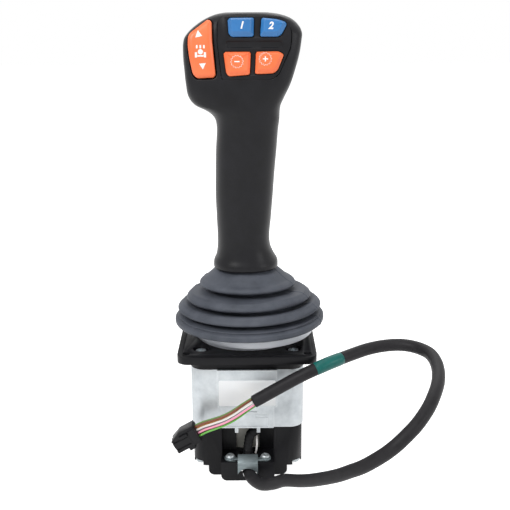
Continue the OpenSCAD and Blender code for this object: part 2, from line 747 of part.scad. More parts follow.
opening_r = ring_r + 6.5;
pad_h = 0.5;
pad_inset = 3;
counterbore_d = 11.7;
body_head_d = 9.2;
body_head_h = 3;
counterbore_h = pad_h + body_head_h;
body_boss_d = 11.6;
body_thread = 12;
module flange_plate() {
    color("#232427") difference() {
        union() {
            translate([0, 0, flange_bottom]) linear_extrude(flange_t - pad_h)
                rounded_rect(flange_w, flange_w, flange_r);
            translate([0, 0, -pad_h - eps]) linear_extrude(pad_h + eps)
                rounded_rect(flange_w - 2 * pad_inset, flange_w - 2 * pad_inset,
                             max(2, flange_r - pad_inset));
            translate([0, 0, housing_top]) difference() {
                linear_extrude(skirt_h + eps) rounded_rect(housing_w, housing_w, housing_r);
                translate([0, 0, -1]) linear_extrude(skirt_h + 1)
                    rounded_rect(housing_w - 2 * housing_wall, housing_w - 2 * housing_wall,
                                 housing_r - housing_wall);
            }
            translate([0, 0, housing_top]) at_corners(body_pitch)
                cylinder(d = body_boss_d, h = skirt_h + eps);
        }
        translate([0, 0, flange_bottom - 1]) cylinder(r = opening_r, h = flange_t + 2, $fn = 128);
        at_corners(panel_pitch) translate([0, 0, flange_bottom - 1])
            cylinder(d = panel_hole_d, h = flange_t + 2);
        at_corners(body_pitch) {
            translate([0, 0, -counterbore_h]) cylinder(d = counterbore_d, h = counterbore_h + 1);
            translate([0, 0, housing_top - 1])
                cylinder(d = body_screw_d + 0.5, h = skirt_h + flange_t + 2);
        }
        at_bearing_screws() {
            translate([0, 0, -bearing_head_h - 0.3]) cylinder(d = bearing_head_d + 0.6, h = 5);
            translate([0, 0, flange_bottom - 1]) cylinder(d = bearing_screw_d + 0.3, h = flange_t + 2);
        }
    }
}

module flange_screws() {
    color("#c2c5c9") at_corners(body_pitch) translate([0, 0, -counterbore_h])
        cap_screw(body_head_d, body_head_h, body_screw_d,
                  body_thread - 1 - counterbore_h - housing_top, 4);
}

// ---------------------------------------------------------------- housing

front_y = -housing_w / 2;
boss_out = 1.7;
panel_front_y = front_y - boss_out;
label_w = 41.5;
label_h = 20;
label_top = -21.2;
label_t = 0.25;
wide_boss_w = label_w + 1.5;
narrow_boss_w = 38.4;
cover_thread = 12;
prong_x = 8;
prong_w = 2.6;
prong_drop = 3.8;
pocket_w = 30.8;
pocket_h = 10.4;
pocket_sill = 1.2;
slot_w = 14;
notch_w = 9.4;
notch_h = 2.6;

module main_housing() {
    color("#b4b9bd") difference() {
        union() {
            translate([0, 0, housing_bottom]) difference() {
                linear_extrude(housing_h) rounded_rect(housing_w, housing_w, housing_r);
                translate([0, 0, -1]) linear_extrude(housing_h + 2)
                    rounded_rect(housing_w - 2 * housing_wall, housing_w - 2 * housing_wall,
                                 housing_r - housing_wall);
            }
            translate([0, 0, housing_bottom]) at_corners(body_pitch)
                cylinder(d = body_boss_d, h = housing_h);
            // Raised front field: wide round the label, narrow below it
            translate([-wide_boss_w / 2, panel_front_y, label_top - label_h - 1.2])
                cube([wide_boss_w, boss_out + 1, housing_top - label_top + label_h + 1.2]);
            translate([-narrow_boss_w / 2, panel_front_y, housing_bottom])
                cube([narrow_boss_w, boss_out + 1, label_top - label_h - housing_bottom]);
            for (x = [-1, 1])
                translate([x * prong_x - prong_w / 2, panel_front_y, housing_bottom - prong_drop])
                    cube([prong_w, boss_out, prong_drop + 1]);
        }
        // Stepped pocket and core slot under the label
        translate([-pocket_w / 2, panel_front_y - 1, housing_bottom + pocket_sill])
            cube([pocket_w, 1.8, pocket_h]);
        translate([-slot_w / 2, panel_front_y - 1, housing_bottom + pocket_sill + pocket_h + 1])
            cube([slot_w, 1.9, 1.2]);
        translate([pocket_w / 2 - notch_w, panel_front_y - 1, housing_bottom + pocket_h - notch_h])
            cube([notch_w, 2.2, notch_h]);
        at_corners(body_pitch) translate([0, 0, housing_top - body_thread])
            cylinder(d = body_screw_d, h = body_thread + 1);
        at_corners(cover_pitch) translate([0, 0, housing_bottom - 1])
            cylinder(d = cover_screw_d, h = cover_thread + 1);
    }
}

module blank_label() {
    color("#dfe3e6") translate([-label_w / 2, panel_front_y - label_t, label_top - label_h])
        cube([label_w, label_t, label_h]);
}

// ---------------------------------------------------------------- lower cover

cover_front_y = -cover_w / 2;
channel_back_y = cover_front_y + channel_depth;
block_top = cover_top - channel_h;
block_front_y = cover_front_y - block_out;
block_w_out = channel_w + 1;
foot_corner_r = 4.5;
cover_wall = housing_wall - 0.6;
window_w = 17.4;
window_top = cover_top - 3;
well_w = lead_d + 3.8;
well_depth = block_out + 9.4;
step_back = 11;
cover_r = 10;
cover_boss_d = 9.6;
// Open seats of the cover screws in the lower corners
seat_d = 10.6;
seat_h = 3.4;
cover_head_d = 7.6;
cover_head_h = 2.8;

module cover_gasket() {
    color("#151517") translate([0, 0, cover_top]) difference() {
        linear_extrude(gasket_t) rounded_rect(cover_w, cover_w, cover_r);
        translate([0, 0, -1]) linear_extrude(gasket_t + 2)
            rounded_rect(cover_w - 5, cover_w - 5, cover_r - 2.5);
        // Open over the cable channel
        translate([-channel_w / 2, -cover_w, -1]) cube([channel_w, cover_w / 2 + 8, gasket_t + 2]);
        at_corners(cover_pitch) translate([0, 0, -1]) cylinder(d = cover_screw_d + 0.4, h = gasket_t + 2);
    }
}

// A part of the foot as seen from the front, with round lower corners
module foot_outline(w, top) {
    r = foot_corner_r;
    translate([-w / 2, base_bottom + r]) square([w, top - base_bottom - r]);
    translate([-w / 2 + r, base_bottom]) square([w - 2 * r, r + eps]);
    for (x = [-1, 1]) translate([x * (w / 2 - r), base_bottom + r]) circle(r = r);
}

module lower_cover() {
    inner_w = cover_w - 2 * cover_wall;
    floor_z = cover_bottom + cover_wall;
    color("#242528") difference() {
        union() {
            difference() {
                translate([0, 0, cover_bottom]) linear_extrude(cover_h)
                    rounded_rect(cover_w, cover_w, cover_r);
                difference() {
                    translate([0, 0, floor_z]) linear_extrude(cover_h)
                        rounded_rect(inner_w, inner_w, cover_r - cover_wall);
                    // Walls of the channel stay
                    translate([-channel_w / 2 - cover_wall, cover_front_y, cover_bottom])
                        cube([channel_w + 2 * cover_wall, channel_depth + cover_wall, cover_h + 1]);
                    translate([0, 0, cover_bottom]) at_corners(cover_pitch)
                        cylinder(d = cover_boss_d, h = cover_h + 1);
                }
            }
            translate([0, cover_w / 2 - step_back, 0]) rotate([90, 0, 0])
                linear_extrude(cover_w - step_back) foot_outline(step_w, cover_bottom + 1);
            translate([0, channel_back_y, 0]) rotate([90, 0, 0])
                linear_extrude(channel_back_y - block_front_y) foot_outline(block_w_out, block_top);
        }
        translate([-channel_w / 2, cover_front_y - 1, block_top])
            cube([channel_w, channel_depth + 1, cover_h]);
        translate([-window_w / 2, channel_back_y - 1, block_top])
            cube([window_w, cover_wall + 2, window_top - block_top]);
        // Well for the lead, open to the front below the clamp's strap
        translate([-well_w / 2, block_front_y - 1, base_bottom - 1])
            cube([well_w, well_depth + 1, block_top - base_bottom + 2]);
        at_corners(cover_pitch) translate([0, 0, cover_bottom - 1]) {
            cylinder(d = cover_screw_d + 0.4, h = cover_h + 2);
            cylinder(d = seat_d, h = seat_h + 1);
        }
        at_clamp_screws() translate([0, 0, block_top - clamp_thread])
            cylinder(d = clamp_screw_d, h = clamp_thread + 1);
    }
}

module cover_screws() {
    color("#c2c5c9") at_corners(cover_pitch) translate([0, 0, cover_bottom + seat_h])
        rotate([180, 0, 0]) pan_screw(cover_head_d, cover_head_h, cover_screw_d,
                                      cover_h - seat_h + gasket_t + cover_thread - 1, 3);
}

// Clamp: two ears on the block's top and a strap that hangs over its front
clamp_screw_d = 3;
clamp_screw_x = 13;
clamp_screw_y = block_front_y + 5.4;
clamp_thread = 8;
strap_low = block_top - strap_drop;
// The strap's middle rises towards its back edge
saddle_rise = 1.8;
saddle_depth = 6;
module at_clamp_screws() {
    for (x = [-1, 1]) translate([x * clamp_screw_x, clamp_screw_y, 0]) children();
}

module cable_clamp() {
    ear_r = 4.1;
    arc_rise = 4.6;
    arc_r = (pow(strap_w / 2, 2) + pow(arc_rise, 2)) / (2 * arc_rise);
    color("#aeb9bd") difference() {
        union() {
            translate([0, 0, block_top]) linear_extrude(clamp_t) {
                for (x = [-1, 1]) translate([x * clamp_screw_x, clamp_screw_y]) circle(r = ear_r);
                translate([-clamp_screw_x, block_front_y + 1.3]) square([2 * clamp_screw_x, 3.2]);
            }
            // Strap and saddle as one bent strip, seen from the side
            translate([strap_w / 2, block_front_y, block_top]) rotate([0, -90, 0])
                linear_extrude(strap_w)
                    polygon([[strap_low - block_top, -clamp_t], [0, -clamp_t], [clamp_t, 0],
                             [saddle_rise + clamp_t, saddle_depth], [saddle_rise, saddle_depth],
                             [0, 1], [0, 0], [strap_low - block_top, 0]]);
        }
        at_clamp_screws() translate([0, 0, block_top - 1])
            cylinder(d = clamp_screw_d + 0.3, h = clamp_t + 2);
        translate([0, 0, strap_low + arc_rise - arc_r]) rotate([90, 0, 0])
            cylinder(r = arc_r, h = 2 * cover_w, $fn = 128);
    }
}

module clamp_screws() {
    color("#c6c9cd") at_clamp_screws() translate([0, 0, block_top + clamp_t])
        pan_screw(6.4, 2.2, clamp_screw_d, clamp_t + clamp_thread - 1, 2.4);
}

// ---------------------------------------------------------------- electronics

carrier_w = 46;
carrier_front = channel_back_y + cover_wall + 0.4;
carrier_back = 24;
carrier_top = cover_top - 1;
carrier_wall = 2;
sensor_board_z = pivot_z - shaft_below - 9.4;
post_d = 7;
post_x = carrier_w / 2 - post_d / 2;
board_post_y = [carrier_front + post_d / 2, carrier_back - post_d / 2];
board_screw_d = 2.5;
module at_posts() {
    for (x = [-1, 1], y = board_post_y) translate([x * post_x, y, 0]) children();
}

module sensor_carrier() {
    floor_z = cover_bottom + cover_wall;
    color("#c3c6c4") difference() {
        union() {
            translate([-carrier_w / 2, carrier_front, floor_z])
                cube([carrier_w, carrier_back - carrier_front, carrier_top - floor_z]);
            translate([0, 0, floor_z]) at_posts()
                cylinder(d = post_d, h = sensor_board_z - board_t - floor_z);
        }
        difference() {
            translate([-carrier_w / 2 + carrier_wall, carrier_front + carrier_wall,
                       floor_z + carrier_wall])
                cube([carrier_w - 2 * carrier_wall,
                      carrier_back - carrier_front - 2 * carrier_wall, 60]);
            translate([0, 0, floor_z]) at_posts() cylinder(d = post_d, h = 80);
        }
        at_posts() translate([0, 0, sensor_board_z - 9]) cylinder(d = board_screw_d, h = 10);
    }
}

module sensor_board() {
    color("#1d6b3c") translate([-carrier_w / 2, carrier_front, sensor_board_z - board_t])
        difference() {
            cube([carrier_w, carrier_back - carrier_front, board_t]);
            translate([carrier_w / 2, -carrier_front, -1]) at_posts()
                cylinder(d = board_screw_d + 0.3, h = board_t + 2);
        }
}

module board_screws() {
    color("#b9bcc0") at_posts() translate([0, 0, sensor_board_z])
        pan_screw(5, 1.8, board_screw_d, board_t + 6, 2);
}

// ---------------------------------------------------------------- harness and lead

// The taped bundle comes out of the window and turns down into the well
harness_d = 7;
// The routes were laid for the cover's top edge at this place, and they move with it
laid_for = [0, -40.4, -59.6];
route_shift = [0, cover_front_y, cover_top] - laid_for;
function moved(route) = [for (p = route) p + route_shift];
harness_path = [[7, -29.8, -66.6], [4, -31.6, -67.4], [1.6, -33.4, -70], [0.6, -34.8, -74.5],
                [0, -36.4, -79], [0, -37.6, -82.5]];
wire_path = [[6.8, -31.6, -70.9], [6.8, -34.5, -72.5], [6.9, -36.2, -76], [6.4, -36.4, -80],
             [5.8, -35.6, -83.1]];
// Route of the lead: down the well, under the strap, along the surface, up into its loop
lead_path = [
    [0, -37.7, -82.8], [0, -39.2, -87], [0.4, -42.8, -91], [1.4, -48, -93.4], [4, -55, -94],
    [10, -63, -93.2], [18, -70, -88.5], [26, -77, -82], [36, -87, -76.5], [45, -97, -70],
    [58, -111, -59], [67, -119.5, -50.5], [75, -126, -43], [85.5, -131.5, -32.5],
    [92.5, -133, -25.5], [99.5, -131, -19.5], [107, -126, -14], [115, -116.5, -8.5],
    [121, -105.5, -4.5], [126.5, -91, -2], [130, -75, -0.5], [131, -60, 0.6], [129, -47, 1.2],
    [122, -37, 1.4], [112, -32, 1.4], [100, -31, 0.4], [88, -33.5, -1], [77, -39, -2.4],
    [67, -45.5, -3.4], [58, -51.5, -4.4], [48, -56, -7], [38, -57.4, -11.4], [27, -57.6, -17.6],
    [16, -57.4, -24.2], [5, -57, -31]];
sleeve_from = 28;
sleeve_to = 30;

// A stretch of a swept route, with the frames of the whole route
module swept_stretch(path, from, to, d, sides) {
    sv = side_vectors(path, [1, 0, 0]);
    n = to - from + 1;
    points = [for (i = [from : to]) let (t = tangent_at(path, i), u = sv[i], w = cross(t, u))
              for (k = [0 : sides - 1]) let (a = 360 * k / sides)
              path[i] + d / 2 * (cos(a) * u + sin(a) * w)];
    walls = [for (i = [0 : n - 2], k = [0 : sides - 1])
             let (k2 = (k + 1) % sides, a = i * sides + k, b = i * sides + k2,
                  c = (i + 1) * sides + k2, e = (i + 1) * sides + k)
             each [[a, e, b], [b, e, c]]];
    near_cap = [for (k = [0 : sides - 1]) k];
    far_cap = [for (k = [sides - 1 : -1 : 0]) (n - 1) * sides + k];
    polyhedron(points = points, faces = concat(walls, [near_cap, far_cap]), convexity = 8);
}
lead_sides = 12;
thin_sides = 8;
last_point = len(lead_path) - 1;

module inner_harness() color("#1c1c1e")
    swept_stretch(moved(harness_path), 0, len(harness_path) - 1, harness_d, lead_sides);
module harness_wire() color("#eceded")
    swept_stretch(moved(wire_path), 0, len(wire_path) - 1, core_d, thin_sides);
module lead() color("#343335") swept_stretch(moved(lead_path), 0, sleeve_from, lead_d, lead_sides);
module marker_sleeve() color("#1f6a62")
    swept_stretch(moved(lead_path), sleeve_from, sleeve_to, lead_d + 0.4, lead_sides);
module lead_tail() color("#2b2a2c")
    swept_stretch(moved(lead_path), sleeve_to, last_point, lead_d, lead_sides);

// Eight cores leave the cut end on a circle and enter the connector in two rows
core_path = [[4.8, -57, -31.2], [-2.4, -56.8, -36.4], [-9, -57.4, -41], [-16.4, -58, -45],
             [-23.7, -58.4, -47.6], [-30, -58.5, -49.8], [-35.5, -58.5, -52.6]];
core_pitch = 2.5;
core_circle_r = 2.9;
core_colors = ["#7a4a2c", "#f2f0ec", "#9cc45a", "#d08a2a", "#f4b3c6", "#9a97a0", "#6b3f28", "#63b545"];
core_row_share = 0.55;
// How far core k lies across its path and behind it, at share t of the way
function core_across(k, t) =
    mix(core_circle_r * cos(22.5 + 45 * k), core_pitch * (k < 4 ? 1.5 - k : k - 5.5), t);
function core_behind(k, t) =
    mix(core_circle_r * sin(22.5 + 45 * k), core_pitch * core_row_share * (k < 4 ? 1 : -1), t);
function core_route(k) = let (n = len(core_path) - 1)
    [for (i = [0 : n]) let (t = i / n, across = unit(cross(tangent_at(core_path, i), [0, 1, 0])))
     core_path[i] + core_across(k, t) * across + core_behind(k, t) * [0, 1, 0]];
module core_wires() {
    for (k = [0 : 7]) color(core_colors[k])
        swept_stretch(moved(core_route(k)), 0, len(core_path) - 1, core_d, thin_sides);
}

// The connector: a ribbed block with a tongue slot, its axis slanting down to the left
connector_len = 19.2;
connector_w = 13.8;
connector_t = 10;
connector_turn = 150;
connector_edge = -connector_w / 2;
module at_connector() {
    translate(core_path[len(core_path) - 1] + route_shift) rotate([0, connector_turn, 0])
        translate([seat_gap, 0, 0]) children();
}

module connector_housing() {
    cavity_pitch = 2.8;
    color("#1d1d20") at_connector() difference() {
        union() {
            // Side outline with a long chamfer on the upper edge of the mating end
            translate([0, connector_t / 2, 0]) rotate([90, 0, 0]) linear_extrude(connector_t)
                polygon([[0, connector_edge], [11, connector_edge], [connector_len, connector_edge + 3.3],
                         [connector_len, -connector_edge], [0, -connector_edge]]);
            // Rib across the lower edge and a raised band at the wires' end
            translate([6, -connector_t / 2, -connector_edge - eps])
                cube([4.6, connector_t, 2.2]);
            translate([0, -connector_t / 2 - 0.8, connector_edge + 2])
                cube([5, connector_t + 1.6, connector_w - 4]);
        }
        // Front cavities, two rows of four
        for (r = [-1, 1], c = [-1, 0, 1, 2])
            translate([connector_len - 6, r * 2.4 - 1.4, c * cavity_pitch - 1.1]) cube([8, 2.8, 2.2]);
        // Two long grooves on each side
        for (z = [-1.9, 3.9], s = [-1, 1])
            translate([7, s * connector_t / 2 - 0.8, z - 0.7]) cube([connector_len, 1.6, 1.4]);
    }
}

module connector_lock() {
    color("#26262a") at_connector()
        translate([6, -connector_t / 2 - 1.5, connector_edge + 2.4]) cube([6.5, 1.5, 2.4]);
}

grip_front_shell();
grip_rear_shell();
grip_screws();
grip_socket();
face_panel();
rocker_cap();
rocker_pin();
rocker_cradle();
button_blue_left();
button_blue_right();
button_minus();
button_plus();
switch_board();
button_switches();
lever_shaft();
shaft_nut();
sensor_magnet();
pivot_block();
block_pins();
block_bushes();
gimbal_ring();
ring_pins();
ring_drums();
bearing_blocks();
bearing_bushes();
bearing_drums();
bearing_screws();
bellows();
bellows_collar();
flange_plate();
flange_screws();
main_housing();
blank_label();
cover_gasket();
lower_cover();
cover_screws();
sensor_carrier();
sensor_board();
board_screws();
inner_harness();
harness_wire();
cable_clamp();
clamp_screws();
lead();
marker_sleeve();
lead_tail();
core_wires();
connector_housing();
connector_lock();
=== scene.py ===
"""Dresses the two-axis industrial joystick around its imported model.

Lengths are in millimetres in the classes and are turned to metres where a mesh is made.
+Z is up along the resting lever, the operator sits at -Y, and the origin is the middle of
the flange's top face.
"""

import logging
import math
from dataclasses import dataclass, field
from enum import Enum
from typing import Callable

import bmesh
import bpy
import numpy as np
from mathutils import Matrix, Vector


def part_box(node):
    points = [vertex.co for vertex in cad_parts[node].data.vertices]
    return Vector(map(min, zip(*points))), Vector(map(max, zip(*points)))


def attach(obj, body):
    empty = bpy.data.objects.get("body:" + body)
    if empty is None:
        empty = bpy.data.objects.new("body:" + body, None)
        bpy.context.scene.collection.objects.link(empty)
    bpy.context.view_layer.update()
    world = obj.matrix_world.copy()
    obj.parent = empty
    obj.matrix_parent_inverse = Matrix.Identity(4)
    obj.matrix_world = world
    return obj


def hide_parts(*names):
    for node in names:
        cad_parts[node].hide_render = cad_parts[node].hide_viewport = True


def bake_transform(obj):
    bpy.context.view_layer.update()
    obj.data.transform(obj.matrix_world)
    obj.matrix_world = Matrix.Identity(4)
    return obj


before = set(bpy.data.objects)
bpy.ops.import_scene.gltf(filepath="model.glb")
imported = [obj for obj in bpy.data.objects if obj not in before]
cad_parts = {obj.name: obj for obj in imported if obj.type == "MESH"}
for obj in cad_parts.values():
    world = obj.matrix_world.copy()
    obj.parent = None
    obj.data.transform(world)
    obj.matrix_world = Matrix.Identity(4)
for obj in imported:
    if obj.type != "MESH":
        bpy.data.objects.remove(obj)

MM = 0.001
# Points closer together than this are one point, in metres
SAME_POINT = 1e-6
# Faces that turn by less than this are one flat face, and edges sharper than the other are rounded
FLAT_DEG = 0.3
SHARP_DEG = 32.0
log = logging.getLogger("joystick")


# ---- small helpers


def linear(hex_colour: str) -> tuple[float, float, float, float]:
    """Turns an sRGB hex colour to the linear RGBA that Blender's sockets take.

    Args:
        hex_colour: Six hex digits, with or without a leading #.

    Returns:
        Linear red, green, blue and an alpha of 1.
    """
    digits = hex_colour.lstrip("#")
    shares = [int(digits[i : i + 2], 16) / 255 for i in (0, 2, 4)]
    lit = [c / 12.92 if c <= 0.04045 else ((c + 0.055) / 1.055) ** 2.4 for c in shares]
    return lit[0], lit[1], lit[2], 1.0


def smooth_step(t: np.ndarray) -> np.ndarray:
    """A soft step: 3t^2 - 2t^3, with t held between 0 and 1."""
    held = np.clip(t, 0.0, 1.0)
    return held * held * (3 - 2 * held)


def units(vectors: np.ndarray) -> np.ndarray:
    """Each vector divided by its length."""
    return vectors / np.maximum(np.linalg.norm(vectors, axis=-1, keepdims=True), 1e-12)


def spline(points: np.ndarray, steps: int) -> np.ndarray:
    """A Catmull-Rom curve through the points.

    Each span is the cubic with its end points p1, p2 and end slopes (p2-p0)/2, (p3-p1)/2.

    Args:
        points: One row per point.
        steps: Samples per span.

    Returns:
        The samples, with the last point at the end.
    """
    padded = np.vstack([2 * points[0] - points[1], points, 2 * points[-1] - points[-2]])
    t = (np.arange(steps) / steps)[None, :, None]
    p0, p1, p2, p3 = (padded[i : len(padded) - 3 + i][:, None, :] for i in range(4))
    curve = 0.5 * (
        2 * p1 + (p2 - p0) * t
        + (2 * p0 - 5 * p1 + 4 * p2 - p3) * t**2
        + (3 * p1 - p0 - 3 * p2 + p3) * t**3
    )
    return np.vstack([curve.reshape(-1, points.shape[1]), points[-1]])


def summed(steps: np.ndarray) -> np.ndarray:
    """The running total of the steps, from 0."""
    return np.concatenate([[0.0], np.cumsum(steps)])


def running(points: np.ndarray) -> np.ndarray:
    """Length of a line of points up to each of them."""
    return summed(np.linalg.norm(np.diff(points, axis=0), axis=1))


def spaced(points: np.ndarray, count: int) -> np.ndarray:
    """The same line with evenly spaced samples, by its running length.

    Args:
        points: One row per point.
        count: Number of samples.

    Returns:
        One row per sample.
    """
    run = running(points)
    at = np.linspace(0, run[-1], count)
    return np.column_stack([np.interp(at, run, points[:, i]) for i in range(points.shape[1])])


def corners_mm(node: str) -> tuple[np.ndarray, np.ndarray]:
    """Lowest and highest corner of a CAD node's box, in millimetres."""
    low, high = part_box(node)
    return np.array(low) / MM, np.array(high) / MM


# ---- meshes


def make_piece(
    name: str,
    points: np.ndarray,
    faces: list | np.ndarray,
    uv: np.ndarray | None = None,
    normals: np.ndarray | None = None,
) -> bpy.types.Object:
    """Makes a mesh object at the origin from points in millimetres.

    Args:
        name: The piece's name.
        points: One row per vertex.
        faces: Vertex indices of each face, anticlockwise seen from outside.
        uv: Two numbers per vertex, or None.
        normals: Shading normals per vertex, or None for Blender's own.

    Returns:
        The linked object, smooth shaded.
    """
    mesh = bpy.data.meshes.new(name)
    mesh.from_pydata((points * MM).tolist(), [], faces if isinstance(faces, list) else faces.tolist())
    mesh.polygons.foreach_set("use_smooth", np.ones(len(mesh.polygons), bool))
    if uv is not None:
        loops = np.empty(len(mesh.loops), np.int32)
        mesh.loops.foreach_get("vertex_index", loops)
        mesh.uv_layers.new(name="UVMap").data.foreach_set("uv", uv[loops].astype(np.float32).ravel())
    mesh.update()
    if normals is not None:
        mesh.normals_split_custom_set_from_vertices(units(normals).tolist())
    piece = bpy.data.objects.new(name, mesh)
    bpy.context.scene.collection.objects.link(piece)
    return piece


def grid_faces(rows: int, columns: int, first: int = 0) -> np.ndarray:
    """Quads through rings that run anticlockwise seen from outside and follow each other up.

    Args:
        rows: Number of rings.
        columns: Points in a ring.
        first: Index of the first point.

    Returns:
        Four indices per quad.
    """
    i = np.arange(rows - 1)[:, None] * columns
    j = np.arange(columns)[None, :]
    k = (j + 1) % columns
    quads = np.stack([i + j, i + k, i + columns + k, i + columns + j], axis=-1)
    return quads.reshape(-1, 4) + first


def closed_faces(rows: int, columns: int) -> np.ndarray:
    """Quads through rings that close on themselves, as on a torus.

    Args:
        rows: Number of rings.
        columns: Points in a ring.

    Returns:
        The quads of grid_faces and those that join the last ring to the first.
    """
    last, k = (rows - 1) * columns, np.arange(columns)
    close = np.stack([last + k, last + (k + 1) % columns, (k + 1) % columns, k], axis=-1)
    return np.vstack([grid_faces(rows, columns), close])


def rings_piece(name: str, rings: np.ndarray, uv: np.ndarray | None = None) -> bpy.types.Object:
    """A closed skin through rings of points, with a flat cap at both ends.

    Args:
        name: The piece's name.
        rings: Rows of closed rings, shaped (rows, columns, 3).
        uv: Two numbers per point, shaped (rows, columns, 2), or None.

    Returns:
        The object.
    """
    rows, columns = rings.shape[:2]
    faces = grid_faces(rows, columns).tolist()
    faces.append(list(range(columns))[::-1])
    faces.append(list(range((rows - 1) * columns, rows * columns)))
    return make_piece(name, rings.reshape(-1, 3), faces, None if uv is None else uv.reshape(-1, 2))


def tube_rings(
    path: np.ndarray, radius: np.ndarray | float, sides: int, start_side: tuple[int, int, int]
) -> np.ndarray:
    """Rings of a tube swept along a path.

    Each ring is path + radius * (cos a * side + sin a * (tangent x side)), and the side is
    carried along the path by taking out its part along each new tangent.

    Args:
        path: Points of the centre line.
        radius: One radius, or one for each point or for each point and side.
        sides: Points round the tube.
        start_side: Rough direction of angle 0 at the start.

    Returns:
        Points shaped (path points, sides, 3).
    """
    tangents = units(np.gradient(path, axis=0))
    side, carried = np.array(start_side, float), []
    for tangent in tangents:
        side = units(side - tangent * (side @ tangent))
        carried.append(side)
    across = np.array(carried)
    third = np.cross(tangents, across)
    turn = np.arange(sides) * 2 * math.pi / sides
    spread = radius[:, None] if np.ndim(radius) == 1 else radius
    reach = np.broadcast_to(spread, (len(path), sides))
    spoke = np.cos(turn)[None, :, None] * across[:, None] + np.sin(turn)[None, :, None] * third[:, None]
    return path[:, None] + reach[..., None] * spoke


def softened(node: str, width: float, body: str) -> bpy.types.Object:
    """A copy of a CAD node with its doubles merged and its sharp edges rounded, in its place.

    Args:
        node: Name of the CAD node.
        width: Width of the rounding in millimetres.
        body: Body that the copy rides on.

    Returns:
        The copy, which replaces the node.
    """
    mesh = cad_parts[node].data.copy()
    work = bmesh.new()
    work.from_mesh(mesh)
    bmesh.ops.remove_doubles(work, verts=work.verts, dist=SAME_POINT)
    flat = math.radians(FLAT_DEG)
    bmesh.ops.dissolve_limit(work, angle_limit=flat, verts=work.verts, edges=work.edges)
    work.to_mesh(mesh)
    work.free()
    mesh.polygons.foreach_set("use_smooth", np.ones(len(mesh.polygons), bool))
    piece = bpy.data.objects.new(node + "_soft", mesh)
    bpy.context.scene.collection.objects.link(piece)
    bevel = piece.modifiers.new("rounding", "BEVEL")
    bevel.width = width * MM
    bevel.segments = 2
    bevel.limit_method = "ANGLE"
    bevel.angle_limit = math.radians(SHARP_DEG)
    bevel.use_clamp_overlap = True
    bevel.harden_normals = True
    mesh.materials.clear()
    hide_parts(node)
    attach(piece, body)
    return piece


# ---- finishes


def add(
    tree: bpy.types.NodeTree, kind: str, inputs: dict | None = None, **settings: object
) -> bpy.types.Node:
    """Adds a shader node with its settings and links.

    Args:
        tree: The material's node tree.
        kind: Blender's name of the node, without ShaderNode.
        inputs: Socket name or number to a value, or to the output socket that feeds it.
        settings: Properties of the node itself.

    Returns:
        The node.
    """
    node = tree.nodes.new("ShaderNode" + kind)
    for key, value in settings.items():
        setattr(node, key, value)
    for key, value in (inputs or {}).items():
        socket = node.inputs[key]
        if isinstance(value, bpy.types.NodeSocket):
            tree.links.new(value, socket)
        else:
            socket.default_value = value
    return node


class Pattern(Enum):
    """How a finish's fine relief is laid out."""

    GRAIN = "fine even grain, as from a spark-eroded mould"
    CAST = "coarse cloudy skin, as on a tumbled die casting"
    BRUSHED = "short scratches along one direction"
    SMOOTH = "almost bare surface with faint clouds"


# A noise's useful values lie between these two
NOISE_SPAN = {"From Min": 0.3, "From Max": 0.7}


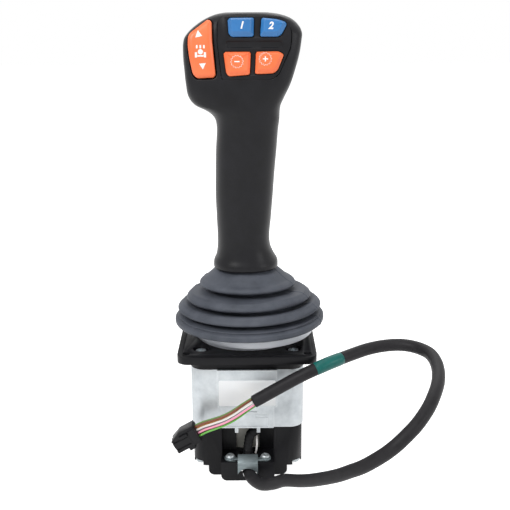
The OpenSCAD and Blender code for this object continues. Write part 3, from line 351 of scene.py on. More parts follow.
@dataclass(frozen=True)
class Finish:
    """One material: what it is made of and how its surface was made.

    Sizes are real millimetres. The two hex colours are the ends of its colour variation.
    """

    name: str
    colour: str
    other_colour: str
    roughness: tuple[float, float]
    metallic: float = 0.0
    cloud_mm: float = 14.0
    grain_mm: float = 0.3
    relief_mm: float = 0.006
    pattern: Pattern = Pattern.GRAIN
    # Width, strength and colour of a painted highlight along the edges
    edge_mm: float = 0.0
    edge_highlight_share: float = 0.5
    edge_highlight_colour: str = "e9ecee"
    specular: float = 0.5
    stretch: tuple[float, float, float] = (1.0, 1.0, 1.0)

    def build(self) -> bpy.types.Material:
        """Makes the material with its colour clouds, roughness clouds and relief.

        Returns:
            The material.
        """
        material = bpy.data.materials.new(self.name)
        material.use_nodes = True
        tree = material.node_tree
        tree.nodes.clear()
        place = add(tree, "TexCoord").outputs["Object"]
        stretched = add(tree, "Mapping", {"Vector": place, "Scale": self.stretch}).outputs[0]
        scale = 1 / (self.cloud_mm * MM)
        noise = {"Vector": stretched, "Scale": scale, "Detail": 4.0, "Roughness": 0.6}
        clouds = {"Value": add(tree, "TexNoise", noise).outputs["Fac"], **NOISE_SPAN}
        spread = add(tree, "MapRange", clouds).outputs[0]
        # The colour sockets of a Mix node share their names with its other kinds, so they go by number
        ends = {0: spread, 6: linear(self.colour), 7: linear(self.other_colour)}
        colour = add(tree, "Mix", ends, data_type="RGBA").outputs[2]
        least, most = self.roughness
        rough = add(tree, "MapRange", {**clouds, "To Min": least, "To Max": most}).outputs[0]
        look = {"Base Color": colour, "Roughness": rough}
        plain = {"Metallic": self.metallic, "Specular IOR Level": self.specular}
        shader = add(tree, "BsdfPrincipled", look | plain)
        # Edges get a painted highlight
        if self.edge_mm:
            self.painted_edge_highlights(tree, shader, colour)
        tree.links.new(self.relief(tree, place, stretched), shader.inputs["Normal"])
        output = add(tree, "OutputMaterial", {"Surface": shader.outputs[0]})
        output.is_active_output = True
        return material

    def painted_edge_highlights(
        self, tree: bpy.types.NodeTree, shader: bpy.types.Node, colour: bpy.types.NodeSocket
    ) -> None:
        """Lightens the colour towards each edge: a painted highlight where light catches the rounded
        edges.

        An edge is where the surface's own direction differs from its rounded one.

        Args:
            tree: The material's node tree.
            shader: The shader whose colour is changed.
            colour: The colour so far.
        """
        rounded = add(tree, "Bevel", {"Radius": self.edge_mm * MM}, samples=6).outputs[0]
        own = add(tree, "NewGeometry").outputs["True Normal"]
        same = add(tree, "VectorMath", {0: rounded, 1: own}, operation="DOT_PRODUCT").outputs["Value"]
        # The two directions' product is 1 on a flat face and falls towards an edge
        span = {"Value": same, "From Min": 0.98, "From Max": 0.8, "To Max": self.edge_highlight_share}
        edge = add(tree, "MapRange", span).outputs[0]
        # Painted highlight: the pale edge colour is mixed in towards each edge
        mixed = add(tree, "Mix", {0: edge, 6: colour, 7: linear(self.edge_highlight_colour)}, data_type="RGBA")
        tree.links.new(mixed.outputs[2], shader.inputs["Base Color"])

    def relief(
        self, tree: bpy.types.NodeTree, place: bpy.types.NodeSocket, stretched: bpy.types.NodeSocket
    ) -> bpy.types.NodeSocket:
        """Adds the fine relief as a bump.

        Args:
            tree: The material's node tree.
            place: Object coordinates.
            stretched: Object coordinates after the finish's own stretch.

        Returns:
            The normal socket.
        """
        scale = 1 / (self.grain_mm * MM)
        vector, detail = (stretched, 2.0) if self.pattern is Pattern.BRUSHED else (place, 3.0)
        noise = {"Vector": vector, "Scale": scale, "Detail": detail, "Roughness": 0.55}
        height = add(tree, "TexNoise", noise).outputs["Fac"]
        if self.pattern is Pattern.CAST:
            swirl = {"Vector": place, "Scale": scale / 6, "Detail": 2.0}
            broad = add(tree, "TexNoise", swirl).outputs["Fac"]
            height = add(tree, "Math", {0: height, 1: broad}, operation="ADD").outputs[0]
        bump = {"Height": height, "Distance": self.relief_mm * MM, "Strength": 1.0}
        return add(tree, "Bump", bump).outputs[0]


# Glass-filled nylon from a spark-eroded mould: black, satin, with a fine even grain
GRIP_NYLON = Finish(
    "glass_filled_nylon", "19191b", "1f1f22", (0.37, 0.43), grain_mm=0.45, relief_mm=0.012,
    specular=0.17,
)
# The same plastic on the flange and cover, a little darker
BASE_NYLON = Finish(
    "black_moulded_nylon", "111113", "17171a", (0.38, 0.46), grain_mm=0.4, relief_mm=0.01, specular=0.15,
)
# Dyed ABS from a fine-blasted mould: full colour, semi-matt
ORANGE_ABS = Finish("orange_abs", "ff7642", "ff804e", (0.36, 0.44), relief_mm=0.004)
BLUE_ABS = Finish("blue_abs", "2e73b2", "347bbc", (0.3, 0.4), relief_mm=0.004)
# Chloroprene rubber with a faint bloom that makes it cloudy and matt
BELLOWS_RUBBER = Finish(
    "chloroprene_rubber", "444850", "575b64", (0.5, 0.64), cloud_mm=16, grain_mm=0.6, relief_mm=0.014,
    pattern=Pattern.SMOOTH, specular=0.25,
)
# Moulded acetal and undyed nylon: pale, waxy and even
GREY_ACETAL = Finish(
    "grey_acetal", "dadee6", "e6e9ef", (0.4, 0.5), grain_mm=0.8, pattern=Pattern.SMOOTH,
)
NATURAL_NYLON = Finish("natural_nylon", "b9b8b0", "c9c8c0", (0.4, 0.5), grain_mm=0.8)
# Tumbled aluminium die casting: dull, mottled by its skin and the tumbling stones, with a painted
# highlight along its edges
DIE_CAST = Finish(
    "tumbled_die_cast_aluminium", "b3b9bd", "cfd4d7", (0.36, 0.52), metallic=0.5, cloud_mm=9,
    grain_mm=0.35, relief_mm=0.03, pattern=Pattern.CAST, edge_mm=1.6,
)
# Steel with zinc plate: the matt bloom of a passivated sheet part, and brighter turned screws
ZINC_SHEET = Finish(
    "passivated_zinc_sheet", "727d80", "879194", (0.44, 0.56), metallic=0.6, cloud_mm=3,
    pattern=Pattern.BRUSHED, stretch=(1.0, 4.0, 4.0),
)
ZINC_STEEL = Finish(
    "bright_zinc_plated_steel", "c3ccd0", "dfe4e6", (0.26, 0.38), metallic=0.9, cloud_mm=4,
    pattern=Pattern.BRUSHED, stretch=(1.0, 4.0, 4.0),
)
MATT_ZINC = Finish(
    "matt_zinc_plated_steel", "a3aaad", "bcc1c3", (0.38, 0.5), metallic=0.65, cloud_mm=3,
)
# Turned and milled metal: bright, with the tool's fine lines along one direction
TURNED_STEEL = Finish(
    "turned_steel", "b9bdc2", "cdd1d5", (0.2, 0.3), metallic=1.0, cloud_mm=5, grain_mm=0.25,
    pattern=Pattern.BRUSHED, stretch=(0.3, 0.3, 6.0),
)
MILLED_ALUMINIUM = Finish(
    "milled_aluminium", "a4a8ad", "b6babf", (0.3, 0.42), metallic=1.0, cloud_mm=6,
    pattern=Pattern.BRUSHED, stretch=(1.0, 5.0, 1.0),
)
# Bronze powder pressed and sintered: warm, with a fine open grain
SINTERED_BRONZE = Finish("sintered_bronze", "a97f43", "bf9050", (0.4, 0.5), metallic=1.0, relief_mm=0.01)
# Green lacquer over the boards' tracks, fairly glossy
SOLDER_MASK = Finish(
    "solder_mask", "16603a", "1d7044", (0.25, 0.35), cloud_mm=3, grain_mm=0.6, relief_mm=0.008,
)
# Polyester film of the label: white, even and slightly glossy
LABEL_FILM = Finish(
    "polyester_label_film", "f4f7fa", "fafcfd", (0.34, 0.42), cloud_mm=20, grain_mm=1.2, relief_mm=0.004,
    pattern=Pattern.SMOOTH,
)
# Nitrile rubber cut from sheet: black and dull
GASKET_RUBBER = Finish(
    "nitrile_rubber", "0b0b0d", "121214", (0.6, 0.7), grain_mm=0.5, relief_mm=0.01, specular=0.3,
)
# Polyurethane sheath: matt, with a slight drag from the extruder
SHEATH = Finish(
    "polyurethane_sheath", "222123", "2b2a2c", (0.42, 0.54), cloud_mm=6, grain_mm=0.5, relief_mm=0.014,
    pattern=Pattern.SMOOTH, specular=0.14,
)
# Cloth tape: dull black, with its threads' coarse relief
CLOTH_TAPE = Finish(
    "cloth_tape", "0f0f11", "19191b", (0.42, 0.6), cloud_mm=3, grain_mm=0.35, relief_mm=0.03,
    specular=0.2,
)
# Heat-shrunk sleeve: blue-green, smoother than the sheath
GREEN_SLEEVE = Finish(
    "heat_shrink_sleeve", "0f5b56", "166761", (0.34, 0.44), cloud_mm=6, grain_mm=0.8, relief_mm=0.008,
    pattern=Pattern.SMOOTH, specular=0.25,
)
# Moulded PBT of the connector: black, a little glossier than the nylon
CONNECTOR_PBT = Finish("black_pbt", "0f0f11", "17171a", (0.36, 0.46), specular=0.18)
# Pad-printing ink: flat white
WHITE_PAD_PRINT = Finish(
    "white_pad_print", "fbf7f4", "fffdfa", (0.4, 0.5), grain_mm=0.5, relief_mm=0.002,
)
# From the back row's lower core to its upper one, then the front row from the top down
CORE_COLOURS = ("5f3524", "9a8fa3", "d8903a", "5f8a3c", "7a3f24", "ece8e2", "f7a3bc", "6cbc4a")


@dataclass
class Paint:
    """Builds each finish once and puts it on pieces."""

    made: dict[str, bpy.types.Material] = field(default_factory=dict)

    def on(self, piece: bpy.types.Object, finish: Finish, slot: str | None = None) -> bpy.types.Object:
        """Gives a piece one finish.

        Args:
            piece: The piece.
            finish: Its finish.
            slot: Not used.

        Returns:
            The same piece.
        """
        if finish.name not in self.made:
            self.made[finish.name] = finish.build()
        piece.data.materials.clear()
        piece.data.materials.append(self.made[finish.name])
        return piece


# ---- studio


@dataclass
class Studio:
    """Camera, lamps, surroundings and the pale floor."""

    lens_mm: float = 59.3
    camera_mm: tuple[float, float, float] = (5.85, -602.6, 229.0)
    aim_mm: tuple[float, float, float] = (6.12, 0.0, 60.9)
    roll_deg: float = -0.3
    ambient: float = 0.34
    floor_glow: float = 0.85
    floor_half_mm: float = 6000.0
    # Name, place in metres, side in metres and power in watts
    lamps: tuple[tuple[str, tuple[float, float, float], float, float], ...] = (
        ("key_lamp", (-0.62, -0.85, 0.95), 0.5, 10.5), ("top_lamp", (0.1, -0.2, 1.5), 0.8, 4.5),
        ("fill_lamp", (1.1, -0.6, 0.5), 0.5, 3.5), ("back_lamp", (0.2, 1.1, 1.0), 0.9, 3.0),
    )
    lamps_aim: tuple[float, float, float] = (0.0, 0.0, 0.06)

    def camera(self) -> None:
        """Places the camera: it looks from its point at the aim, then rolls about its axis."""
        data = bpy.data.cameras.new("camera")
        data.lens = self.lens_mm
        camera = bpy.data.objects.new("camera", data)
        place, aim = Vector(self.camera_mm) * MM, Vector(self.aim_mm) * MM
        turn = (aim - place).to_track_quat("-Z", "Y").to_matrix().to_4x4()
        camera.matrix_world = turn @ Matrix.Rotation(math.radians(self.roll_deg), 4, "Z")
        camera.location = place
        bpy.context.scene.collection.objects.link(camera)
        bpy.context.scene.camera = camera

    def world(self) -> None:
        """Plain grey light all round, white where the camera and reflections see it."""
        world = bpy.data.worlds.new("surroundings")
        world.use_nodes = True
        bpy.context.scene.world = world
        tree = world.node_tree
        tree.nodes.clear()
        seen = self.seen_rays(tree)
        span = {"Value": seen, "To Min": self.ambient, "To Max": 1.0}
        strength = add(tree, "MapRange", span).outputs[0]
        background = add(tree, "Background", {"Color": linear("ffffff"), "Strength": strength})
        add(tree, "OutputWorld", {"Surface": background.outputs[0]})

    @staticmethod
    def seen_rays(tree: bpy.types.NodeTree) -> bpy.types.NodeSocket:
        """Tells the rays that see a surface from those that light it.

        Args:
            tree: A node tree.

        Returns:
            1 for rays from the camera, a reflection or a transmission, and 0 for the rest.
        """
        rays = add(tree, "LightPath").outputs
        seen = rays["Is Camera Ray"]
        for other in ("Is Glossy Ray", "Is Transmission Ray"):
            seen = add(tree, "Math", {0: seen, 1: rays[other]}, operation="MAXIMUM").outputs[0]
        return seen

    def lamp(self, name: str, place: tuple[float, float, float], size: float, power: float) -> None:
        """Adds a square soft lamp that faces the object.

        Args:
            name: The lamp's name.
            place: Its place in metres.
            size: Its side in metres.
            power: Its power in watts.
        """
        data = bpy.data.lights.new(name, "AREA")
        data.shape = "SQUARE"
        data.size = size
        data.energy = power
        lamp = bpy.data.objects.new(name, data)
        lamp.location = place
        lamp.rotation_mode = "QUATERNION"
        lamp.rotation_quaternion = (Vector(self.lamps_aim) - Vector(place)).to_track_quat("-Z", "Y")
        bpy.context.scene.collection.objects.link(lamp)

    def floor(self) -> None:
        """A pale floor level with the foot of the joystick, which keeps the shadow."""
        low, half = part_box("lower_cover")[0].z / MM, self.floor_half_mm
        corners = [[-half, -half, low], [half, -half, low], [half, half, low], [-half, half, low]]
        floor = make_piece("floor", np.array(corners), [[0, 1, 2, 3]])
        material = bpy.data.materials.new("pale_floor")
        material.use_nodes = True
        tree = material.node_tree
        tree.nodes.clear()
        diffuse = add(tree, "BsdfDiffuse", {"Color": linear("f7f7f7")}).outputs[0]
        shown = {0: self.seen_rays(tree), 1: self.floor_glow}
        strength = add(tree, "Math", shown, operation="MULTIPLY").outputs[0]
        glow = add(tree, "Emission", {"Strength": strength}).outputs[0]
        both = add(tree, "AddShader", {0: diffuse, 1: glow})
        add(tree, "OutputMaterial", {"Surface": both.outputs[0]})
        floor.data.materials.append(material)

    def build(self) -> None:
        """Makes the whole studio."""
        bpy.context.scene.view_settings.view_transform = "Standard"
        self.camera()
        self.world()
        for lamp in self.lamps:
            self.lamp(*lamp)
        self.floor()
        log.info("studio made, %d lamps", len(self.lamps))


# ---- lead


@dataclass
class Lead:
    """The sheathed lead, its marker sleeve, its cores and the connector."""

    paint: Paint
    diameter: float = 9.0
    core_d: float = 1.5
    route: tuple[tuple[float, float, float], ...] = (
        (0, -37.7, -82.8), (0, -39.2, -87), (0.4, -42.8, -91), (1.4, -48, -93.4), (4, -55, -94),
        (10, -63, -93.2), (18, -70, -88.5), (26, -77, -82), (36, -87, -76.5), (45, -97, -70),
        (58, -111, -59), (67, -119.5, -50.5), (75, -126, -43), (85.5, -131.5, -32.5),
        (92.5, -133, -25.5), (99.5, -131, -19.5), (107, -126, -14), (115, -116.5, -8.5),
        (121, -105.5, -4.5), (126.5, -91, -2), (130, -75, -0.5), (131, -60, 0.6), (129, -47, 1.2),
        (122, -37, 1.4), (112, -32, 1.4), (100, -31, 0.4), (88, -33.5, -1), (77, -39, -2.4),
        (67, -45.5, -3.4), (58, -51.5, -4.4), (48, -56, -7), (38, -57.4, -11.4), (27, -57.6, -17.6),
        (16, -57.4, -24.2), (5, -57, -31),
    )
    sleeve_from: int = 28
    sleeve_to: int = 30
    core_route: tuple[tuple[float, float, float], ...] = (
        (4.8, -57, -31.2), (-2.4, -56.8, -36.4), (-9, -57.4, -41), (-16.4, -58, -45),
        (-23.7, -58.4, -47.6), (-30, -58.5, -49.8), (-35.5, -58.5, -52.6),
    )
    # The cores' circle in the cut end, and their pitch in the connector across and between rows
    core_circle_r: float = 2.9
    core_pitch: float = 2.5
    core_row_share: float = 0.55
    # How thick the sleeve is at its ends, and how much more in the middle
    sleeve_wall: float = 0.06
    sleeve_swell: float = 0.18
    # Samples between two points of a route, and points round the sheath and a core
    steps: int = 6
    sides: int = 28
    core_sides: int = 12

    def path(self) -> np.ndarray:
        """Smooth centre line of the sheath."""
        return spline(np.array(self.route, float), self.steps)

    def sheath(self) -> bpy.types.Object:
        """The sheath as an even tube along the path, with flat cut ends.

        Its UV is the length along the path in metres and the share of a turn.

        Returns:
            The piece.
        """
        path = self.path()
        rings = tube_rings(path, self.diameter / 2, self.sides, (1, 0, 0))
        run, turn = running(path)[:, None] * MM, np.linspace(0, 1, self.sides)[None]
        piece = rings_piece("lead_sheath", rings, np.stack(np.broadcast_arrays(run, turn), axis=-1))
        log.info("lead path: %d points, %.4f m", len(path), run[-1, 0])
        self.paint.on(piece, SHEATH, "lead_sheath")
        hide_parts("lead", "lead_tail")
        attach(piece, "base")
        return piece

    def sleeve(self) -> bpy.types.Object:
        """The marker sleeve: a slightly wider tube over two spans of the route, drawn in at
        its ends.

        Returns:
            The piece.
        """
        path = self.path()[self.sleeve_from * self.steps : self.sleeve_to * self.steps + 1]
        swell = self.sleeve_swell * np.sin(np.linspace(0, math.pi, len(path))) ** 0.25
        radius = self.diameter / 2 + self.sleeve_wall + swell
        piece = rings_piece("marker_sleeve_skin", tube_rings(path, radius, self.sides, (1, 0, 0)))
        self.paint.on(piece, GREEN_SLEEVE, "sleeve_green")
        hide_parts("marker_sleeve")
        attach(piece, "base")
        return piece

    def core_path(self, index: int) -> np.ndarray:
        """Path of one core: from a circle in the cut end to its place in two rows.

        Args:
            index: Number of the core, from 0 to 7.

        Returns:
            Points of its centre line.
        """
        route = np.array(self.core_route, float)
        ends = route[1] - route[0], route[-1] - route[-2]
        tangents = units(np.vstack([ends[0], route[2:] - route[:-2], ends[1]]))
        across = units(np.cross(tangents, (0, 1, 0)))
        t = np.linspace(0, 1, len(route))[:, None]
        angle = math.radians(22.5 + 45 * index)
        row, column = (1, 1.5 - index) if index < 4 else (-1, index - 5.5)
        r, pitch = self.core_circle_r, self.core_pitch
        wide = r * math.cos(angle) * (1 - t) + pitch * column * t
        deep = r * math.sin(angle) * (1 - t) + pitch * self.core_row_share * row * t
        return spline(route + wide * across + deep * np.array([0, 1, 0]), self.steps)

    def cores(self) -> list[bpy.types.Object]:
        """The eight cores, each in its own colour.

        Returns:
            The pieces, in the order of CORE_COLOURS.
        """
        made = []
        for index, colour in enumerate(CORE_COLOURS):
            rings = tube_rings(self.core_path(index), self.core_d / 2, self.core_sides, (0, 1, 0))
            piece = rings_piece(f"core_{index + 1}", rings)
            finish = Finish(
                f"pvc_insulation_{index + 1}", colour, colour, (0.3, 0.42), cloud_mm=5, grain_mm=0.6,
                pattern=Pattern.SMOOTH,
            )
            self.paint.on(piece, finish, "wire_mixed")
            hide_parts("core_wires")
            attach(piece, "base")
            made.append(piece)
        return made

    def build(self) -> None:
        """Makes the lead, its sleeve, its cores and the connector."""
        sheath, sleeve, cores = self.sheath(), self.sleeve(), self.cores()
        housing, lock = (
            self.paint.on(softened(node, width, "base"), CONNECTOR_PBT, "connector_plastic")
            for node, width in (("connector_housing", 0.35), ("connector_lock", 0.3))
        )
        log.info("lead, sleeve, %d cores and connector made", len(cores))


# ---- outlines on the head's face


@dataclass(frozen=True)
class Outline:
    """A closed outline on the face, by its corners in anticlockwise order."""

    corners: tuple[tuple[float, float], ...]
    corner_mm: float = 1.8
    least_corner_mm: float = 0.4
    # The largest share of a side that a round corner takes
    most_of_side: float = 0.42

    def grown(self, grow: float) -> np.ndarray:
        """The corners after every side has moved outwards by the same distance.

        A corner p between side directions a and b goes to p - (left(a) + left(b)) g / (1 + a.b).

        Args:
            grow: Distance that the sides are moved.

        Returns:
            Corners shaped (count, 2).
        """
        p = np.array(self.corners, float)
        a, b = units(p - np.roll(p, 1, 0)), units(np.roll(p, -1, 0) - p)
        left = np.column_stack([-(a + b)[:, 1], (a + b)[:, 0]])
        return p - left * grow / (1 + (a * b).sum(1, keepdims=True))

    def points(self, grow: float = 0.0, on_corner: int = 9, on_side: int = 6) -> np.ndarray:
        """Points of the outline with round corners, the same number at any growth.

        A corner p is the curve a(1-t)^2 + 2pt(1-t) + bt^2 between points a and b on its two
        sides, and straight points follow up to the next corner.

        Args:
            grow: Distance that the outline is moved outwards.
            on_corner: Points round each corner.
            on_side: Points along each side between two corners.

        Returns:
            Points shaped (count, 2).
        """
        p = self.grown(grow)
        back, ahead = np.roll(p, 1, 0) - p, np.roll(p, -1, 0) - p
        back_len, ahead_len = np.linalg.norm(back, axis=1), np.linalg.norm(ahead, axis=1)
        wanted = max(self.corner_mm + grow / 2, self.least_corner_mm)
        reach = np.minimum(wanted, self.most_of_side * np.minimum(back_len, ahead_len))[:, None]
        a, b = p + back / back_len[:, None] * reach, p + ahead / ahead_len[:, None] * reach
        t = np.linspace(0, 1, on_corner)[None, :, None]
        bend = a[:, None] * (1 - t) ** 2 + p[:, None] * 2 * t * (1 - t) + b[:, None] * t**2
        u = (np.arange(1, on_side + 1) / (on_side + 1))[None, :, None]
        straight = b[:, None] * (1 - u) + np.roll(a, -1, 0)[:, None] * u
        return np.concatenate([bend, straight], axis=1).reshape(-1, 2)

    def depth_inside(self, x: np.ndarray, y: np.ndarray, grow: float = 0.0) -> np.ndarray:
        """Distance to the outline, positive inside.

        Args:
            x: Face coordinates across.
            y: Face coordinates up, of the same shape.
            grow: Distance that the outline is moved outwards.

        Returns:
            Distances of the same shape.
        """
        a = self.points(grow, on_corner=6, on_side=0)
        b = np.roll(a, -1, 0)
        edge = b - a
        rel_x, rel_y = x[..., None] - a[:, 0], y[..., None] - a[:, 1]
        t = np.clip((rel_x * edge[:, 0] + rel_y * edge[:, 1]) / (edge**2).sum(1), 0, 1)
        far = np.hypot(rel_x - t * edge[:, 0], rel_y - t * edge[:, 1]).min(-1)
        crosses = (a[:, 1] > y[..., None]) != (b[:, 1] > y[..., None])
        left = rel_x < edge[:, 0] * rel_y / np.where(edge[:, 1] == 0, 1e-9, edge[:, 1])
        inside = (crosses & left).sum(-1) % 2 == 1
        return np.where(inside, far, -far)


PANEL = Outline(
    ((-15.8, -17), (18, -17), (23, -13.5), (30.8, 4), (31.6, 13), (30, 20.8), (25, 24.6), (-14, 25.6),
     (-18.2, 22), (-18.8, 8)), 2.2,
)
ROCKER = Outline(
    ((-22, 9), (-22.2, 21.4), (-24.8, 23), (-37, 13.8), (-38.2, 11), (-38.4, 6), (-37.6, -2),
     (-35.4, -13), (-32.6, -16), (-21.4, -15.6), (-19.9, -14)), 2.0,
)
BLUE_LEFT = Outline(
    ((-9, 11.2), (5.9, 11.2), (6.3, 23.6), (-9.8, 23.6), (-11.4, 22), (-10.9, 13.4)), 1.6
)
BLUE_RIGHT = Outline(
    ((10.3, 11.2), (22.2, 11.2), (24.8, 12.8), (28.2, 19), (27.2, 20.8), (22.2, 22.6), (11.2, 23.6)), 1.6
)
MINUS = Outline(
    ((-10.9, -14.8), (3.2, -13.8), (4, 0.2), (3.1, 1.4), (-13, 1.4), (-14.4, 0.2), (-12.7, -12.6)), 1.6
)
PLUS = Outline(((6.8, -13.4), (19.2, -12.9), (22.2, -10.6), (26.4, -0.4), (22.6, 1.6), (7.5, 1.4)), 1.6)


@dataclass(frozen=True)
class FacePlane:
    """The plane that the controls lie on: x across, y up the face, rise towards the operator."""

    middle_y: float = -21.0
    middle_z: float = 207.425
    lean_deg: float = 6.5

    @property
    def turn(self) -> float:
        """Angle of the face's up direction from the horizontal, in radians."""
        return math.radians(90 - self.lean_deg)

    def place(self, x: np.ndarray, y: np.ndarray, rise: np.ndarray) -> np.ndarray:
        """Points on the face turned into the object's frame.

        Args:
            x: Distance across.
            y: Distance up the face.
            rise: Height over the face.

        Returns:
            Points with a last axis of 3.
        """
        c, s = math.cos(self.turn), math.sin(self.turn)
        x, y, rise = np.broadcast_arrays(x, y, rise)
        return np.stack([x, self.middle_y + y * c - rise * s, self.middle_z + y * s + rise * c], axis=-1)

    def read(self, points: np.ndarray) -> tuple[np.ndarray, np.ndarray, np.ndarray]:
        """Points of the object's frame turned into places on the face.

        Args:
            points: Points with a last axis of 3.

        Returns:
            Distance across, distance up the face and rise.
        """
        c, s = math.cos(self.turn), math.sin(self.turn)
        dy, dz = points[..., 1] - self.middle_y, points[..., 2] - self.middle_z
        return points[..., 0], dy * c + dz * s, dz * c - dy * s


@dataclass
class Legends:
    """White pad-printed signs: arrows and a plain pictogram on the rocker, numerals and
    plus and minus in toothed rings on the buttons.

    Each sign is a set of thin flat plates that lie just above the moulded surface.
    """

    paint: Paint
    face: FacePlane
    print_mm: float = 0.05
    button_top: float = 3.06
    rocker_top: float = 2.55
    # How deep the flat plates start below a button's top
    sunk_mm: float = 0.04
    # The toothed ring: its radius, its teeth, their depth and the line's width
    ring_r: float = 4.4
    ring_teeth: int = 14
    tooth_mm: float = 0.6
    line_mm: float = 0.26
    numeral_mm: float = 6.4
    numeral_slant: float = 0.25
    numeral_weight: float = 0.2

    def on_rocker(self, y: np.ndarray) -> np.ndarray:
        """Height of the rocker's crowned top at each distance up the face."""
        return self.rocker_top + Grip.rocker_crown(y)

    def on_button(self, y: np.ndarray) -> np.ndarray:
        """Height of the buttons' flat tops, of the same shape as y."""
        return np.full(np.shape(y), self.button_top - self.sunk_mm)

    def plates(
        self, name: str, body: str, shapes: list[np.ndarray], top: Callable[[np.ndarray], np.ndarray]
    ) -> None:
        """Makes one piece of flat plates.

        Args:
            name: The piece's name.
            body: Body that it rides on.
            shapes: Outlines on the face, anticlockwise.
            top: Height of the surface at each distance up the face.
        """
        points, faces, first = [], [], 0
        for shape in shapes:
            count = len(shape)
            height = top(shape[:, 1])
            for rise in (-self.print_mm / 2, self.print_mm):
                points.append(self.face.place(shape[:, 0], shape[:, 1], height + rise))
            faces += grid_faces(2, count, first).tolist()
            faces.append(list(range(first, first + count))[::-1])
            faces.append(list(range(first + count, first + 2 * count)))
            first += 2 * count
        piece = make_piece(name, np.vstack(points), faces)
        piece.data.polygons.foreach_set("use_smooth", np.zeros(len(piece.data.polygons), bool))
        self.paint.on(piece, WHITE_PAD_PRINT)
        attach(piece, body)

    @staticmethod
    def bar(x: float, y: float, width: float, height: float) -> np.ndarray:
        """A rectangle about a centre."""
        return np.array([x, y]) + np.array([[-1, -1], [1, -1], [1, 1], [-1, 1]]) / 2 * [width, height]

    @staticmethod
    def disc(x: float, y: float, r: float, steps: int = 24) -> np.ndarray:
        """A round dot."""
        turn = np.arange(steps) * 2 * math.pi / steps
        return np.column_stack([x + r * np.cos(turn), y + r * np.sin(turn)])

    def toothed_ring(self, x: float, y: float) -> list[np.ndarray]:
        """A thin ring that steps out and in like a gear's rim, as a chain of short bars.

        The rim's radius is ring_r on a tooth and less by tooth_mm between two teeth.

        Args:
            x: The middle's distance across the face.
            y: The middle's distance up the face.

        Returns:
            Four corners per bar.
        """
        steps = self.ring_teeth * 4
        turn = np.arange(steps + 1) * 2 * math.pi / steps
        reach = self.ring_r - np.where(np.arange(steps + 1) % 4 < 2, 0.0, self.tooth_mm)
        rim = np.column_stack([x + reach * np.cos(turn), y + reach * np.sin(turn)])
        middle = np.array([x, y])
        inner = middle + (rim - middle) * (1 - self.line_mm / self.ring_r)
        return [np.stack([inner[i], rim[i], rim[i + 1], inner[i + 1]]) for i in range(steps)]

    def numeral(self, text: str, name: str, body: str, middle: tuple[float, float]) -> None:
        """A slanted numeral from Blender's own letters, laid on a button.

        Args:
            text: The figure.
            name: The piece's name.
            body: Body that it rides on.
            middle: Its middle on the face.
        """
        curve = bpy.data.curves.new(name, "FONT")
        curve.body = text
        curve.size = self.numeral_mm
        curve.align_x = curve.align_y = "CENTER"
        curve.shear = self.numeral_slant
        curve.offset = self.numeral_weight
        curve.extrude = self.print_mm
        curve.resolution_u = 6
        holder = bpy.data.objects.new(name + "_letters", curve)
        bpy.context.scene.collection.objects.link(holder)
        bpy.context.view_layer.update()
        letters = holder.evaluated_get(bpy.context.evaluated_depsgraph_get())
        mesh = bpy.data.meshes.new_from_object(letters)
        bpy.data.objects.remove(holder)
        flat = np.empty(len(mesh.vertices) * 3)
        mesh.vertices.foreach_get("co", flat)
        x, y, z = flat.reshape(-1, 3).T
        place = self.face.place(x + middle[0], y + middle[1], z + self.button_top)
        mesh.vertices.foreach_set("co", (place * MM).ravel())
        piece = bpy.data.objects.new(name, mesh)
        bpy.context.scene.collection.objects.link(piece)
        self.paint.on(piece, WHITE_PAD_PRINT)
        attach(piece, body)

    def build(self) -> None:
        """Prints every sign."""
        arrows = [
            np.array([[-33.1, 10.8], [-28.5, 11.7], [-31.35, 15.6]]),
            np.array([[-28.4, -10.2], [-26.3, -6.0], [-30.8, -6.35]]),
        ]
        self.plates("rocker_arrows", "rocker", arrows, self.on_rocker)
        x, y = -29.8, 1.6
        pictogram = [self.bar(x + dx, y + 3.1, 1.1, 2.2) for dx in (-2.4, 0.0, 2.4)]
        pictogram += [self.disc(x, y - 0.2, 1.7), self.bar(x, y - 2.9, 4.2, 1.0)]
        pictogram += [self.bar(x + dx, y - 2.2, 1.5, 3.4) for dx in (-3.0, 3.0)]
        self.plates("rocker_pictogram", "rocker", pictogram, self.on_rocker)
        for body, x, y, uprights in (("minus", -5.3, -5.2, ()), ("plus", 13.8, -3.5, (-1.06, 1.06))):
            signs = self.toothed_ring(x, y) + [self.bar(x, y, 3.5, 0.8)]
            signs += [self.bar(x, y + dy, 0.8, 1.3) for dy in uprights]
            self.plates(body + "_sign", body, signs, self.on_button)
        self.numeral("1", "numeral_one", "blue_left", (-2.2, 18.4))
        self.numeral("2", "numeral_two", "blue_right", (17.4, 18.0))
        log.info("legends printed")


# ---- grip


class Side(Enum):
    """Which half of the grip a shell is."""

    FRONT = -1
    REAR = 1


